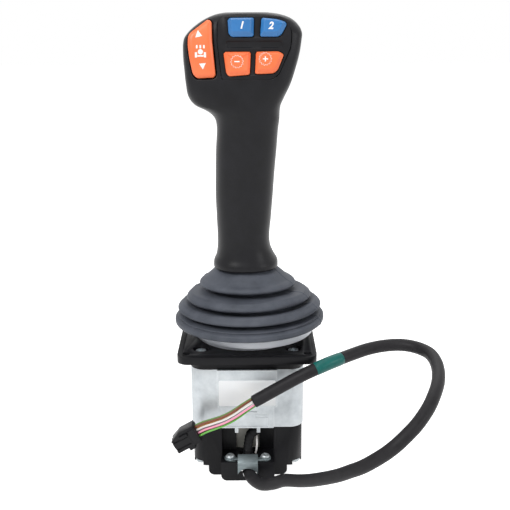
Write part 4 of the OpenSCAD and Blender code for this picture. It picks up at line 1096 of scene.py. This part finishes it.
@dataclass
class Grip:
    """The two grip shells, the face panel, the rocker, the buttons and their legends."""

    paint: Paint
    face: FacePlane = FacePlane()
    rim_z: float = 54.0
    top_z: float = 234.5
    wall: float = 2.4
    split_y: float = 1.0
    # Share of the height, left side, right side, front, back, squareness of the section
    stations: tuple[tuple[float, ...], ...] = (
        (0, -24.6, 23.1, -24, 25, 2.3), (0.02, -24.4, 22.8, -23.8, 24.8, 2.3),
        (0.045, -22.6, 20.2, -22, 23.2, 2.3), (0.08, -21.6, 17.6, -20.6, 21.8, 2.3),
        (0.125, -21.4, 16.8, -20, 21.5, 2.3), (0.2, -21.8, 18, -19.8, 22.2, 2.3),
        (0.29, -22.3, 19.3, -20, 23.6, 2.3), (0.39, -22, 20.6, -20.5, 24.4, 2.3),
        (0.48, -21.5, 22, -21, 24.2, 2.4), (0.555, -20.6, 23, -21.6, 24, 2.6),
        (0.595, -21.4, 23.9, -22.2, 24, 2.7), (0.618, -24.1, 24.1, -22.6, 24, 2.8),
        (0.636, -28.6, 24.3, -22.9, 24.1, 3.1), (0.656, -35.6, 25, -23.1, 24.3, 3.6),
        (0.688, -39.9, 27.6, -23.2, 24.5, 4), (0.735, -41.3, 31.5, -22.9, 24.5, 5),
        (0.79, -42.2, 34.8, -22.3, 24.2, 5), (0.85, -42.8, 37.6, -21.3, 23.8, 5),
        (0.9, -42.2, 39, -20.4, 23.2, 4.8), (0.926, -39.4, 39.2, -19.8, 22.6, 4.4),
        (0.955, -33.6, 36.6, -19, 21.4, 3.4), (0.98, -26.2, 31, -17.6, 19, 3.2),
        (0.994, -19.6, 23.4, -15, 16.2, 3), (1, -14, 16, -11.6, 12.6, 2.8),
    )
    # Screws from the rear: x, share of the height, seat of the head
    screws: tuple[tuple[float, float, float], ...] = (
        (-15, 0.1, 11), (11.6, 0.1, 11), (-33, 0.705, 15), (20.5, 0.705, 15),
    )
    screw_hole_r: float = 2.6
    # Width of a counterbore's soft edge, how far the skin lies under the seat, and how far in
    # front of the seat the skin is still moved
    bore_edge: float = 0.6
    seat_gap: float = 0.1
    seat_reach: float = 3.0
    # Distance between the points of a shell's skin, and the share of the height from which
    # they are at that distance: below it they are twice as far apart
    step_mm: float = 0.6
    fine_from: float = 0.6
    # Half width, half depth and squareness of the head's widest section
    widest: tuple[float, float, float] = (41.0, 22.0, 5.0)
    # The inner skin's top sinks from this share of the height up
    crown_from: float = 0.926
    # Depth and width of the round along the parting line, and half the gap that is left in it
    parting_mm: float = 0.28
    parting_width: float = 0.35
    parting_gap: float = 0.04
    cap_rings: int = 20
    panel_gap: float = -0.2
    rocker_gap: float = 0.65
    pocket_depth: float = 9.0
    # The recess and the pocket lie above this rise and this height on the face, and in front
    # of this depth in the object's frame
    face_limits: tuple[float, float, float] = (-9.0, -30.0, -6.0)

    def section(self, z: np.ndarray) -> np.ndarray:
        """Smooth station values at heights z: a cubic between stations, with slopes from
        the neighbours on either side.

        Args:
            z: Heights, one dimension.

        Returns:
            Left, right, front, back and squareness, shaped (5, len(z)).
        """
        rows = np.array(self.stations, float)
        height = self.rim_z + rows[:, 0] * (self.top_z - self.rim_z)
        ahead = np.minimum(np.arange(len(rows)) + 1, len(rows) - 1)
        behind = np.maximum(np.arange(len(rows)) - 1, 0)
        slopes = (rows[ahead, 1:] - rows[behind, 1:]) / (height[ahead] - height[behind])[:, None]
        i = np.clip(np.searchsorted(height, z, side="right") - 1, 0, len(rows) - 2)
        h = (height[i + 1] - height[i])[:, None]
        t = ((z - height[i]) / (height[i + 1] - height[i]))[:, None]
        value = (
            (2 * t**3 - 3 * t**2 + 1) * rows[i, 1:] + (t**3 - 2 * t**2 + t) * h * slopes[i]
            + (3 * t**2 - 2 * t**3) * rows[i + 1, 1:] + (t**3 - t**2) * h * slopes[i + 1]
        )
        return value.T

    def levels(self) -> np.ndarray:
        """Heights of the rings: evenly spaced along the profile of the half width, and closer
        together in the head than in the hand grip.

        Returns:
            Heights from the rim to the top.
        """
        fine = np.linspace(self.rim_z, self.top_z, 4000)
        left, right, _, _, _ = self.section(fine)
        weight = np.where(fine > self.rim_z + self.fine_from * (self.top_z - self.rim_z), 1.0, 0.5)
        half = (right - left) / 2
        step = np.hypot(np.diff(fine), np.diff(half)) * (weight[1:] + weight[:-1]) / 2
        run = summed(step)
        return np.interp(np.linspace(0, run[-1], int(run[-1] / self.step_mm)), run, fine)

    def angles(self) -> np.ndarray:
        """Angles of the columns over half a section, evenly spaced on the head's widest one.

        Returns:
            Angles from 0 to half a turn.
        """
        a = np.linspace(0, math.pi, 3000)
        w, d, n = self.widest
        reach = 1 / ((np.abs(np.cos(a)) / w) ** n + (np.abs(np.sin(a)) / d) ** n) ** (1 / n)
        run = summed(np.hypot(np.diff(reach * np.cos(a)), np.diff(reach * np.sin(a))))
        return np.interp(np.linspace(0, run[-1], int(run[-1] / self.step_mm)), run, a)

    def skin(self, side: Side, inset: float) -> np.ndarray:
        """Points of one half's outer or inner skin.

        A section is the curve (|x|/w)^n + (|y|/d)^n = 1 about its own middle, with a small
        round where it meets the other half.

        Args:
            side: Which half.
            inset: Distance inside the outer skin.

        Returns:
            Points shaped (levels, angles, 3), seen from outside anticlockwise.
        """
        z, a = self.levels(), self.angles()
        left, right, front, back, n = (v[:, None] for v in self.section(z))
        half_w = (right - left) / 2 - inset
        half_d = (self.split_y - front if side is Side.FRONT else back - self.split_y) - inset
        c, s = np.cos(a)[None], np.sin(a)[None]
        reach = 1 / ((np.abs(c) / half_w) ** n + (np.abs(s) / half_d) ** n) ** (1 / n)
        off_split = reach * s
        if not inset:
            reach = reach - self.parting_mm * np.exp(-((off_split / self.parting_width) ** 2))
        x = (left + right) / 2 + reach * c
        y = self.split_y + side.value * np.maximum(reach * s, self.parting_gap)
        crown = self.rim_z + self.crown_from * (self.top_z - self.rim_z)
        sunk = np.where(z < crown, 0, inset * (z - crown) / (self.top_z - crown))
        points = np.stack(np.broadcast_arrays(x, y, (z - sunk)[:, None]), axis=-1)
        return points if side is Side.REAR else points[:, ::-1]

    def pocketed(self, points: np.ndarray, inset: float) -> np.ndarray:
        """Sinks the front skin into the panel's recess and the rocker's pocket.

        Inside an outline the rise on the face falls to the pocket's floor over a soft edge.

        Args:
            points: Points of the front skin.
            inset: Distance of this skin inside the outer one.

        Returns:
            The moved points.
        """
        x, y, rise = self.face.read(points)
        least_rise, least_y, most_back = self.face_limits
        near = (rise > least_rise) & (y > least_y) & (points[..., 1] < most_back)
        sunk = np.full(rise.shape, np.inf)
        for outline, grow, edge in ((PANEL, self.panel_gap, 0.3), (ROCKER, self.rocker_gap, 0.5)):
            inside = np.full(rise.shape, -np.inf)
            inside[near] = outline.depth_inside(x[near], y[near], grow)
            share = smooth_step((inside + edge / 2) / edge)
            sunk = np.minimum(sunk, rise - (self.pocket_depth + rise) * share**1.5)
        sunk = np.minimum(rise, sunk - np.where(sunk < rise - 0.5, inset, 0))
        return np.where(near[..., None], self.face.place(x, y, sunk), points)

    def screw_holes(self, points: np.ndarray, inset: float) -> np.ndarray:
        """Sinks the rear skin to the screws' seats inside round counterbores.

        Args:
            points: Points of the rear skin.
            inset: Distance of this skin inside the outer one.

        Returns:
            The moved points.
        """
        x, y, z = points[..., 0].copy(), points[..., 1].copy(), points[..., 2]
        for hole_x, share, seat in self.screws:
            off = np.hypot(x - hole_x, z - (self.rim_z + share * (self.top_z - self.rim_z)))
            sink = smooth_step((self.screw_hole_r + self.bore_edge / 2 - off) / self.bore_edge)
            sunk = np.minimum(y, y + (seat - self.seat_gap - inset - y) * sink)
            y = np.where(y > seat - self.seat_reach, sunk, y)
        return np.stack([x, y, z], axis=-1)

    def shell(self, side: Side) -> bpy.types.Object:
        """One half of the grip as a closed thin shell: outer skin, inner skin and the wall's
        edge between them at the rim, the crown and the parting plane.

        Args:
            side: Which half.

        Returns:
            The piece.
        """
        shape = self.pocketed if side is Side.FRONT else self.screw_holes
        outer = shape(self.skin(side, 0.0), 0.0)
        inner = shape(self.skin(side, self.wall), self.wall)
        loop = np.concatenate([outer, inner[:, ::-1]], axis=1)
        rows, columns = loop.shape[:2]
        half = columns // 2
        j = np.arange(half - 1)
        rim = np.stack([j, columns - 1 - j, columns - 2 - j, j + 1], axis=-1)
        faces = np.vstack([grid_faces(rows, columns), rim])
        points, top = loop.reshape(-1, 3), (rows - 1) * columns
        middle = (points[top] + points[top + half - 1]) / 2
        inner_middle = (points[top + half] + points[top + columns - 1]) / 2
        points = np.vstack([points, middle, inner_middle])
        # Two hubs close the crown, in the middle of the outer and of the inner parting line
        hub, low_hub = rows * columns, rows * columns + 1
        fans = [[top + k, top + k + 1, hub] for k in range(half - 1)]
        fans += [[top + half + k, top + half + k + 1, low_hub] for k in range(half - 1)]
        fans += [[top + half - 1, top + half, low_hub, hub], [top + columns - 1, top, hub, low_hub]]
        name = "grip_front" if side is Side.FRONT else "grip_rear"
        piece = make_piece(name, points, faces.tolist() + fans)
        self.paint.on(piece, GRIP_NYLON, "grip_soft_black")
        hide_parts(name + "_shell")
        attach(piece, "lever")
        log.info("%s: %d points", name, len(points))
        return piece

    def cap(
        self,
        name: str,
        outline: Outline,
        rows: tuple[tuple[float, float, float], ...],
        crown: Callable[[np.ndarray], np.ndarray],
    ) -> bpy.types.Object:
        """A moulded cap: side wall, sloping flanks and a crowned top that closes at its middle.

        Row k is the outline moved inwards by its inset and up the face by its shift, at its
        height plus the crown there, and the top is the last row drawn towards its middle.

        Args:
            name: The piece's name.
            outline: Outline of the cap.
            rows: Height, inset and shift of each row, from the bottom up.
            crown: Height added at each distance up the face.

        Returns:
            The piece.
        """
        rings = np.stack([outline.points(-inset) + np.array([0, shift]) for _, inset, shift in rows])
        top = rings[-1]
        middle = top.mean(0)
        shrink = np.linspace(1, 0.02, self.cap_rings)[1:]
        flat = np.concatenate([rings, middle + (top - middle) * shrink[:, None, None]])
        height = np.concatenate([[row[0] for row in rows], np.full(len(shrink), rows[-1][0])])[:, None]
        # The wall's foot, in the pocket, stays level
        raised = height + crown(flat[..., 1]) * (height > -0.9)
        return rings_piece(name, self.face.place(flat[..., 0], flat[..., 1], raised))

    def buttons(self) -> None:
        """The four push buttons with sloping flanks, and the rocker."""
        flank = (
            (-2.7, 0, 0), (0.5, 0, 0), (0.72, 0.04, 0), (0.9, 0.16, 0.03), (1.05, 0.32, 0.1),
            (2.66, 1.9, 0.86), (2.84, 2.1, 0.94), (2.96, 2.28, 0.98), (3.03, 2.46, 0.99), (3.06, 2.7, 1.0),
        )
        soft = (
            (-2.7, 0, 0), (0.5, 0, 0), (0.78, 0.05, 0), (1.0, 0.2, 0.02), (1.22, 0.42, 0.1),
            (2.45, 1.7, 0.6), (2.7, 2.0, 0.68), (2.87, 2.26, 0.72), (2.97, 2.5, 0.74), (3.02, 2.8, 0.75),
        )
        for node, outline, rows, finish, slot in (
            ("button_blue_left", BLUE_LEFT, flank, BLUE_ABS, "blue_plastic"),
            ("button_blue_right", BLUE_RIGHT, flank, BLUE_ABS, "blue_plastic"),
            ("button_minus", MINUS, soft, ORANGE_ABS, "orange_plastic"),
            ("button_plus", PLUS, soft, ORANGE_ABS, "orange_plastic"),
        ):
            cap = self.cap(node + "_cap", outline, rows, np.zeros_like)
            self.paint.on(cap, finish, slot)
            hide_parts(node)
            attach(cap, node.replace("button_", ""))
        rocker_rows = (
            (-3.6, 0, 0), (-0.8, 0, 0), (0.6, 0, 0), (1.0, 0.06, 0), (1.3, 0.2, 0), (1.55, 0.42, 0),
            (2.1, 1.5, 0), (2.3, 1.9, 0), (2.44, 2.3, 0), (2.52, 2.8, 0), (2.55, 3.4, 0),
        )
        rocker = self.cap("rocker_shell", ROCKER, rocker_rows, self.rocker_crown)
        self.paint.on(rocker, ORANGE_ABS, "orange_plastic")
        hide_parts("rocker_cap")
        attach(rocker, "rocker")
        log.info("rocker and four buttons made")

    @staticmethod
    def rocker_crown(y: np.ndarray) -> np.ndarray:
        """The rocker's top falls away from its axis as a wide arc: -(y - axis)^2 / (2 radius)."""
        axis_y, radius = 3.5, 75.0
        return -((y - axis_y) ** 2) / (2 * radius)

    def build(self) -> None:
        """Makes the whole grip."""
        self.shell(Side.FRONT)
        self.shell(Side.REAR)
        self.buttons()
        panel = softened("face_panel", 0.12, "lever")
        self.paint.on(panel, GRIP_NYLON, "black_plastic")
        Legends(self.paint, self.face).build()


# ---- bellows


@dataclass
class Bellows:
    """The rubber bellows: three folds over a wide rim.

    It is made as a lower and an upper skin that meet along a wavy line.
    """

    paint: Paint
    neck_r: float = 20.1
    rim_r: float = 56.0
    rim_low: float = 9.8
    wall: float = 1.6
    noses: tuple[tuple[float, float], ...] = ((35.8, 41.6), (46.5, 31.6), (53.7, 23.6))
    # How steeply the bellows rise to the front and to the right at heights from rim to neck
    slope_heights: tuple[float, ...] = (10, 24, 32, 42, 52, 58)
    front_slopes: tuple[float, ...] = (0.023, 0.036, 0.046, 0.05, 0.012, 0)
    right_slopes: tuple[float, ...] = (0.014, 0.022, 0.022, 0.0, 0, 0)
    rim_lift: float = 1.3
    shift_mm: float = 1.7
    # From where and over which height the skin shifts to one side, and lifts
    lean_span: tuple[float, float] = (50.0, 30.0)
    lift_span: tuple[float, float] = (26.0, 14.0)
    columns: int = 144
    rows: int = 150
    # Height of the foot of the grip
    bend_top_mm: float = 54.0
    # The mould's parting line: where it runs, how high it stands and how wide it is
    parting_angles: tuple[float, ...] = (-0.35, math.pi - 0.35)
    parting_mm: float = 0.32
    parting_half_width: float = 0.012

    def angles(self) -> np.ndarray:
        """Angles of the columns: evenly spaced, with more of them across each parting line.

        Returns:
            Angles over a full turn, in order.
        """
        even = np.linspace(0, 2 * math.pi, self.columns, endpoint=False)
        across = self.parting_half_width * np.array([-1, -0.4, 0, 0.4, 1])
        near = (np.array(self.parting_angles)[:, None] + across).ravel() % (2 * math.pi)
        return np.sort(np.concatenate([even, near]))

    def parting(self, angle: np.ndarray) -> np.ndarray:
        """Height of the parting line's ridge, a triangle across each line."""
        off = [np.abs((angle - a + math.pi) % (2 * math.pi) - math.pi) for a in self.parting_angles]
        return self.parting_mm * np.clip(1 - np.minimum(*off) / self.parting_half_width, 0, 1)

    def profile(self) -> np.ndarray:
        """The outer line from the neck to the rim's underside, in radius and height.

        Each fold slopes out to a round nose and goes back under it into a deep valley, and the
        rim has a shallow groove under its top edge.

        Returns:
            Evenly spaced points shaped (count, 2).
        """
        r = self.neck_r
        line = [(r, 57.5), (r, 54.8), (r + 1.1, 52.9), (r + 4.0, 50.6)]
        for r, z in self.noses:
            line += [
                (r - 5.0, z + 3.4), (r - 2.4, z + 2.0), (r - 0.7, z + 0.7), (r, z - 0.8),
                (r - 0.6, z - 2.0), (r - 2.2, z - 2.7), (r - 6.0, z - 3.0), (r - 9.4, z - 3.5),
                (r - 10.5, z - 4.6), (r - 9.6, z - 5.7), (r - 6.2, z - 6.1),
            ]
        r, z = self.rim_r, self.rim_low
        line += [
            (r - 5.2, z + 7.6), (r - 3.0, z + 7.1), (r - 2.0, z + 6.4), (r - 2.9, z + 5.5),
            (r - 1.1, z + 4.9), (r - 0.1, z + 4.0), (r, z + 3.0), (r, z + 1.3), (r - 0.5, z + 0.3),
            (r - 1.6, z), (r - 5.0, z), (r - 12.5, z + 0.1),
        ]
        return spaced(spline(np.array(line, float), 8), 260)

    def surface(self, share: np.ndarray, angle: np.ndarray, inset: float) -> np.ndarray:
        """Points of the bellows.

        The profile is turned about the lever's axis, then it leans, shifts to one side and
        lifts at the front by amounts that grow from the neck to the rim.

        Args:
            share: Way down the profile, from 0 at the neck to 1.
            angle: Angle about the axis, of the same shape.
            inset: Distance inside the outer skin.

        Returns:
            Points with a last axis of 3.
        """
        line = self.profile()
        along = units(np.gradient(line, axis=0))
        inward = np.column_stack([along[:, 1], -along[:, 0]])
        depth = inset if inset else -self.parting(angle)
        steps = np.linspace(0, 1, len(line))
        r, z = (
            np.interp(share, steps, line[:, i]) + depth * np.interp(share, steps, inward[:, i])
            for i in (0, 1)
        )
        x, y = r * np.cos(angle), r * np.sin(angle)
        lean, low = (smooth_step((top - z) / over) for top, over in (self.lean_span, self.lift_span))
        front, right = (
            np.interp(z, self.slope_heights, row) for row in (self.front_slopes, self.right_slopes)
        )
        lift = self.rim_lift * low - y * front + x * right
        return np.stack([x + self.shift_mm * lean, y, z + lift], axis=-1)

    @staticmethod
    def seam(angle: np.ndarray) -> np.ndarray:
        """Share of the profile at which the two skins meet, a wave with two crests a turn."""
        return 0.5 + 0.33 * np.cos(2 * angle)

    def half(self, lower: bool) -> bpy.types.Object:
        """One skin with its wall.

        Args:
            lower: Whether it is the skin from the seam down to the rim.

        Returns:
            The piece.
        """
        angle = self.angles()[None]
        t = np.linspace(0, 1, self.rows)[:, None]
        seam = self.seam(angle)
        share = seam + (1 - seam) * t if lower else seam * t
        share, angle = np.broadcast_arrays(share, angle)
        outer = self.surface(share, angle, 0.0)
        inner = self.surface(share, angle, self.wall)
        turn = np.concatenate([outer, inner[::-1]])[:, ::-1]
        normals = self.normals(share, angle)
        both = np.concatenate([normals, -normals[::-1]])[:, ::-1].reshape(-1, 3)
        name = "bellows_lower" if lower else "bellows_upper"
        piece = make_piece(name, turn.reshape(-1, 3), closed_faces(*turn.shape[:2]), normals=both)
        self.paint.on(piece, BELLOWS_RUBBER, "bellows_rubber")
        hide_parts("bellows")
        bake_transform(piece)
        return piece

    def normals(self, share: np.ndarray, angle: np.ndarray) -> np.ndarray:
        """Outward normals of the outer skin, from its two slopes by small differences.

        Args:
            share: Way down the profile.
            angle: Angle about the axis, of the same shape.

        Returns:
            Unit normals with a last axis of 3.
        """
        d = 0.0015
        below, above = (self.surface(np.clip(share + way, 0, 1), angle, 0.0) for way in (d, -d))
        after, before = (self.surface(share, angle + way, 0.0) for way in (d, -d))
        return units(np.cross(below - above, after - before))

    def build(self) -> None:
        """Makes both skins."""
        self.half(True)
        self.half(False)
        log.info("bellows made")


# ---- base


@dataclass
class Base:
    """Flange, housing, cover and what is fastened to them."""

    paint: Paint
    # CAD node, edge rounding in millimetres, finish, slot
    rounded: tuple[tuple[str, float, Finish, str], ...] = (
        ("flange_plate", 0.7, BASE_NYLON, "black_plastic"),
        ("main_housing", 0.7, DIE_CAST, "die_cast"),
        ("lower_cover", 0.7, BASE_NYLON, "black_plastic"),
        ("cable_clamp", 0.3, ZINC_SHEET, "zinc_steel"),
        ("clamp_screws", 0.2, MATT_ZINC, "zinc_steel"),
        ("cover_screws", 0.25, MATT_ZINC, "zinc_steel"),
        ("sensor_carrier", 0.4, NATURAL_NYLON, "light_grey_plastic"),
    )
    plain: tuple[tuple[str, Finish], ...] = (
        ("grip_screws", ZINC_STEEL), ("grip_socket", BASE_NYLON), ("rocker_pin", TURNED_STEEL),
        ("rocker_cradle", BASE_NYLON), ("switch_board", SOLDER_MASK), ("button_switches", BASE_NYLON),
        ("lever_shaft", TURNED_STEEL), ("shaft_nut", ZINC_STEEL), ("sensor_magnet", TURNED_STEEL),
        ("pivot_block", MILLED_ALUMINIUM), ("block_pins", TURNED_STEEL),
        ("block_bushes", SINTERED_BRONZE),
        ("gimbal_ring", MILLED_ALUMINIUM), ("ring_pins", TURNED_STEEL), ("ring_drums", BASE_NYLON),
        ("bearing_blocks", MILLED_ALUMINIUM), ("bearing_bushes", SINTERED_BRONZE),
        ("bearing_drums", BASE_NYLON), ("bearing_screws", ZINC_STEEL), ("cover_gasket", GASKET_RUBBER),
        ("sensor_board", SOLDER_MASK), ("board_screws", ZINC_STEEL), ("harness_wire", WHITE_PAD_PRINT),
    )
    # Radius and height of the collar's outline, from the foot's inside round to its top
    collar: tuple[tuple[float, float], ...] = (
        (34, 0.3), (34.2, 0.02), (38.3, 0.02), (38.5, 0.3), (38.5, 3.6), (38.8, 3.9), (44.6, 3.9),
        (45.1, 4.1), (45.3, 4.6), (45.3, 8.9), (45.1, 9.3), (44.6, 9.45), (41.2, 9.45), (41.0, 9.7),
        (41.0, 12.5), (40.8, 12.75), (37.7, 12.75), (37.5, 12.5), (37.5, 5.9), (34.2, 4.0), (34, 3.7),
    )
    # The collar's band shifts to the right: how far, and the radii between which that grows
    collar_shift: float = 4.4
    collar_foot_r: float = 38.5
    collar_shift_over: float = 4.0
    collar_columns: int = 160
    # Where the lead leaves the cover: x, height and radius of the cut round it
    lead_cut: tuple[float, float, float] = (1.3, -93.4, 4.9)
    lip_left: float = -6.35
    # Back and front of the lip behind the cover's front face, and its foot over the cover's
    lip_span: tuple[float, float] = (1.7, 0.1)
    lip_lift: float = 0.02
    # The arc of the cut, in half turns
    lip_arc: tuple[float, float] = (-0.55, -1.12)
    label_corner: float = 1.2
    # Radius and height over the seat of a flange screw, from the shank's foot to the recess
    flange_head: tuple[tuple[float, float], ...] = (
        (2.1, -13.0), (2.1, 0.0), (3.7, 0.0), (3.85, 0.15), (3.85, 1.9), (3.7, 2.25), (3.4, 2.4),
        (1.75, 2.4), (1.6, 2.3), (1.45, 1.0), (0.05, 0.7),
    )
    harness_route: tuple[tuple[float, float, float], ...] = (
        (7, -29.8, -66.6), (4, -31.6, -67.4), (1.6, -33.4, -70), (0.6, -34.8, -74.5), (0, -36.4, -79),
        (0, -37.6, -82.5),
    )
    harness_r: float = 3.3
    harness_swell: float = 0.5
    tape_mm: float = 0.3
    # Radius of the CAD screws' heads and their height, which place the turned ones
    head_r: float = 4.6
    head_h: float = 3.0
    tape_turns: int = 9

    def collar_ring(self) -> None:
        """The pale collar: its outline turned about the lever's axis, with the band set to one side."""
        outline = np.array(self.collar, float)
        turn = np.linspace(0, 2 * math.pi, self.collar_columns, endpoint=False)[:, None]
        r, z = outline.T
        shift = self.collar_shift * smooth_step((r - self.collar_foot_r) / self.collar_shift_over)
        x, y = shift + r * np.cos(turn), r * np.sin(turn)
        rings = np.stack(np.broadcast_arrays(x, y, z), axis=-1).transpose(1, 0, 2)[::-1]
        faces = closed_faces(*rings.shape[:2])[:, ::-1]
        piece = make_piece("collar_ring", rings.reshape(-1, 3), faces)
        piece.data.set_sharp_from_angle(angle=math.radians(40))
        self.paint.on(piece, GREY_ACETAL, "light_grey_plastic")
        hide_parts("bellows_collar")
        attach(piece, "base")

    def flange_screw_heads(self) -> None:
        """The four screws in the flange's counterbores, each a turned outline with a recess."""
        outline = np.array(self.flange_head, float)
        r, z = outline[:, None, :1], outline[:, None, 1:]
        low, high = corners_mm("flange_screws")
        reach = (high[0] - low[0]) / 2 - self.head_r
        seat = high[2] - self.head_h
        turn = (np.arange(40) * 2 * math.pi / 40)[None, :, None]
        for index, (side_x, side_y) in enumerate(((-1, -1), (1, -1), (1, 1), (-1, 1))):
            x, y = side_x * reach + r * np.cos(turn), side_y * reach + r * np.sin(turn)
            rings = np.concatenate(np.broadcast_arrays(x, y, seat + z), axis=-1)
            piece = rings_piece(f"flange_screw_{index + 1}", rings)
            piece.data.set_sharp_from_angle(angle=math.radians(35))
            self.paint.on(piece, ZINC_STEEL, "zinc_steel")
            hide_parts("flange_screws")
            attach(piece, "base")

    def harness(self) -> None:
        """The bundle in the channel, wound with cloth tape.

        The radius steps up by the tape's thickness along a helix and falls back over each turn,
        and swells a little towards the bundle's upper end.
        """
        path = spaced(spline(np.array(self.harness_route, float), 12), 160)
        along = np.linspace(0, 1, len(path))[:, None]
        around = (np.arange(32) / 32)[None]
        lap = (along * self.tape_turns + around) % 1.0
        swell = self.harness_swell * smooth_step((0.45 - along) / 0.45)
        radius = self.harness_r + self.tape_mm * (1 - lap) ** 2 + swell
        piece = rings_piece("taped_harness", tube_rings(path, radius, 32, (1, 0, 0)))
        self.paint.on(piece, CLOTH_TAPE, "tape_black")
        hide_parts("inner_harness")
        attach(piece, "base")

    def clamp_lip(self) -> None:
        """The cover's lip below the clamp: a thin wall cut round where the lead comes out."""
        x, z, r = self.lead_cut
        low, _ = corners_mm("lower_cover")
        start, end = self.lip_arc
        turn = np.linspace(math.pi * start, math.pi * end, 18)
        arc = np.column_stack([x + r * np.cos(turn), z + r * np.sin(turn)])
        foot = low[2] + self.lip_lift
        left = self.lip_left
        shape = np.vstack([[[left, foot], [arc[0, 0], foot]], arc, [[left, arc[-1, 1]]]])
        rings = [np.insert(shape, 1, low[1] + y, axis=1) for y in self.lip_span]
        piece = rings_piece("clamp_lip", np.array(rings))
        piece.data.set_sharp_from_angle(angle=math.radians(30))
        self.paint.on(piece, BASE_NYLON, "black_plastic")
        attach(piece, "base")

    def label(self) -> None:
        """The bare label: a thin plate with round corners on the front field."""
        low, high = corners_mm("blank_label")
        corners = ((low[0], low[2]), (high[0], low[2]), (high[0], high[2]), (low[0], high[2]))
        plate, rings = Outline(corners, self.label_corner), []
        for y, inset in ((high[1], 0.0), (low[1] + 0.05, 0.0), (low[1], 0.05)):
            flat = plate.points(-inset)
            rings.append(np.column_stack([flat[:, 0], np.full(len(flat), y), flat[:, 1]]))
        piece = rings_piece("label_plate", np.array(rings))
        piece.data.set_sharp_from_angle(angle=math.radians(50))
        self.paint.on(piece, LABEL_FILM, "label_film")
        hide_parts("blank_label")
        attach(piece, "base")

    def build(self) -> None:
        """Rounds the visible pieces and gives every CAD node its finish."""
        self.collar_ring()
        self.label()
        self.flange_screw_heads()
        self.harness()
        self.clamp_lip()
        for node, width, finish, slot in self.rounded:
            self.paint.on(softened(node, width, "base"), finish, slot)
            log.info("%s rounded by %.2f mm", node, width)
        for node, finish in self.plain:
            self.paint.on(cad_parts[node], finish)


def main() -> None:
    """Builds the scene, sub-assembly by sub-assembly."""
    logging.basicConfig(level=logging.INFO, format="%(name)s: %(message)s")
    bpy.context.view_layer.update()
    paint = Paint()
    Studio().build()
    Lead(paint).build()
    Grip(paint).build()
    Bellows(paint).build()
    Base(paint).build()
    bpy.context.view_layer.update()


if __name__ == "__main__":
    main()
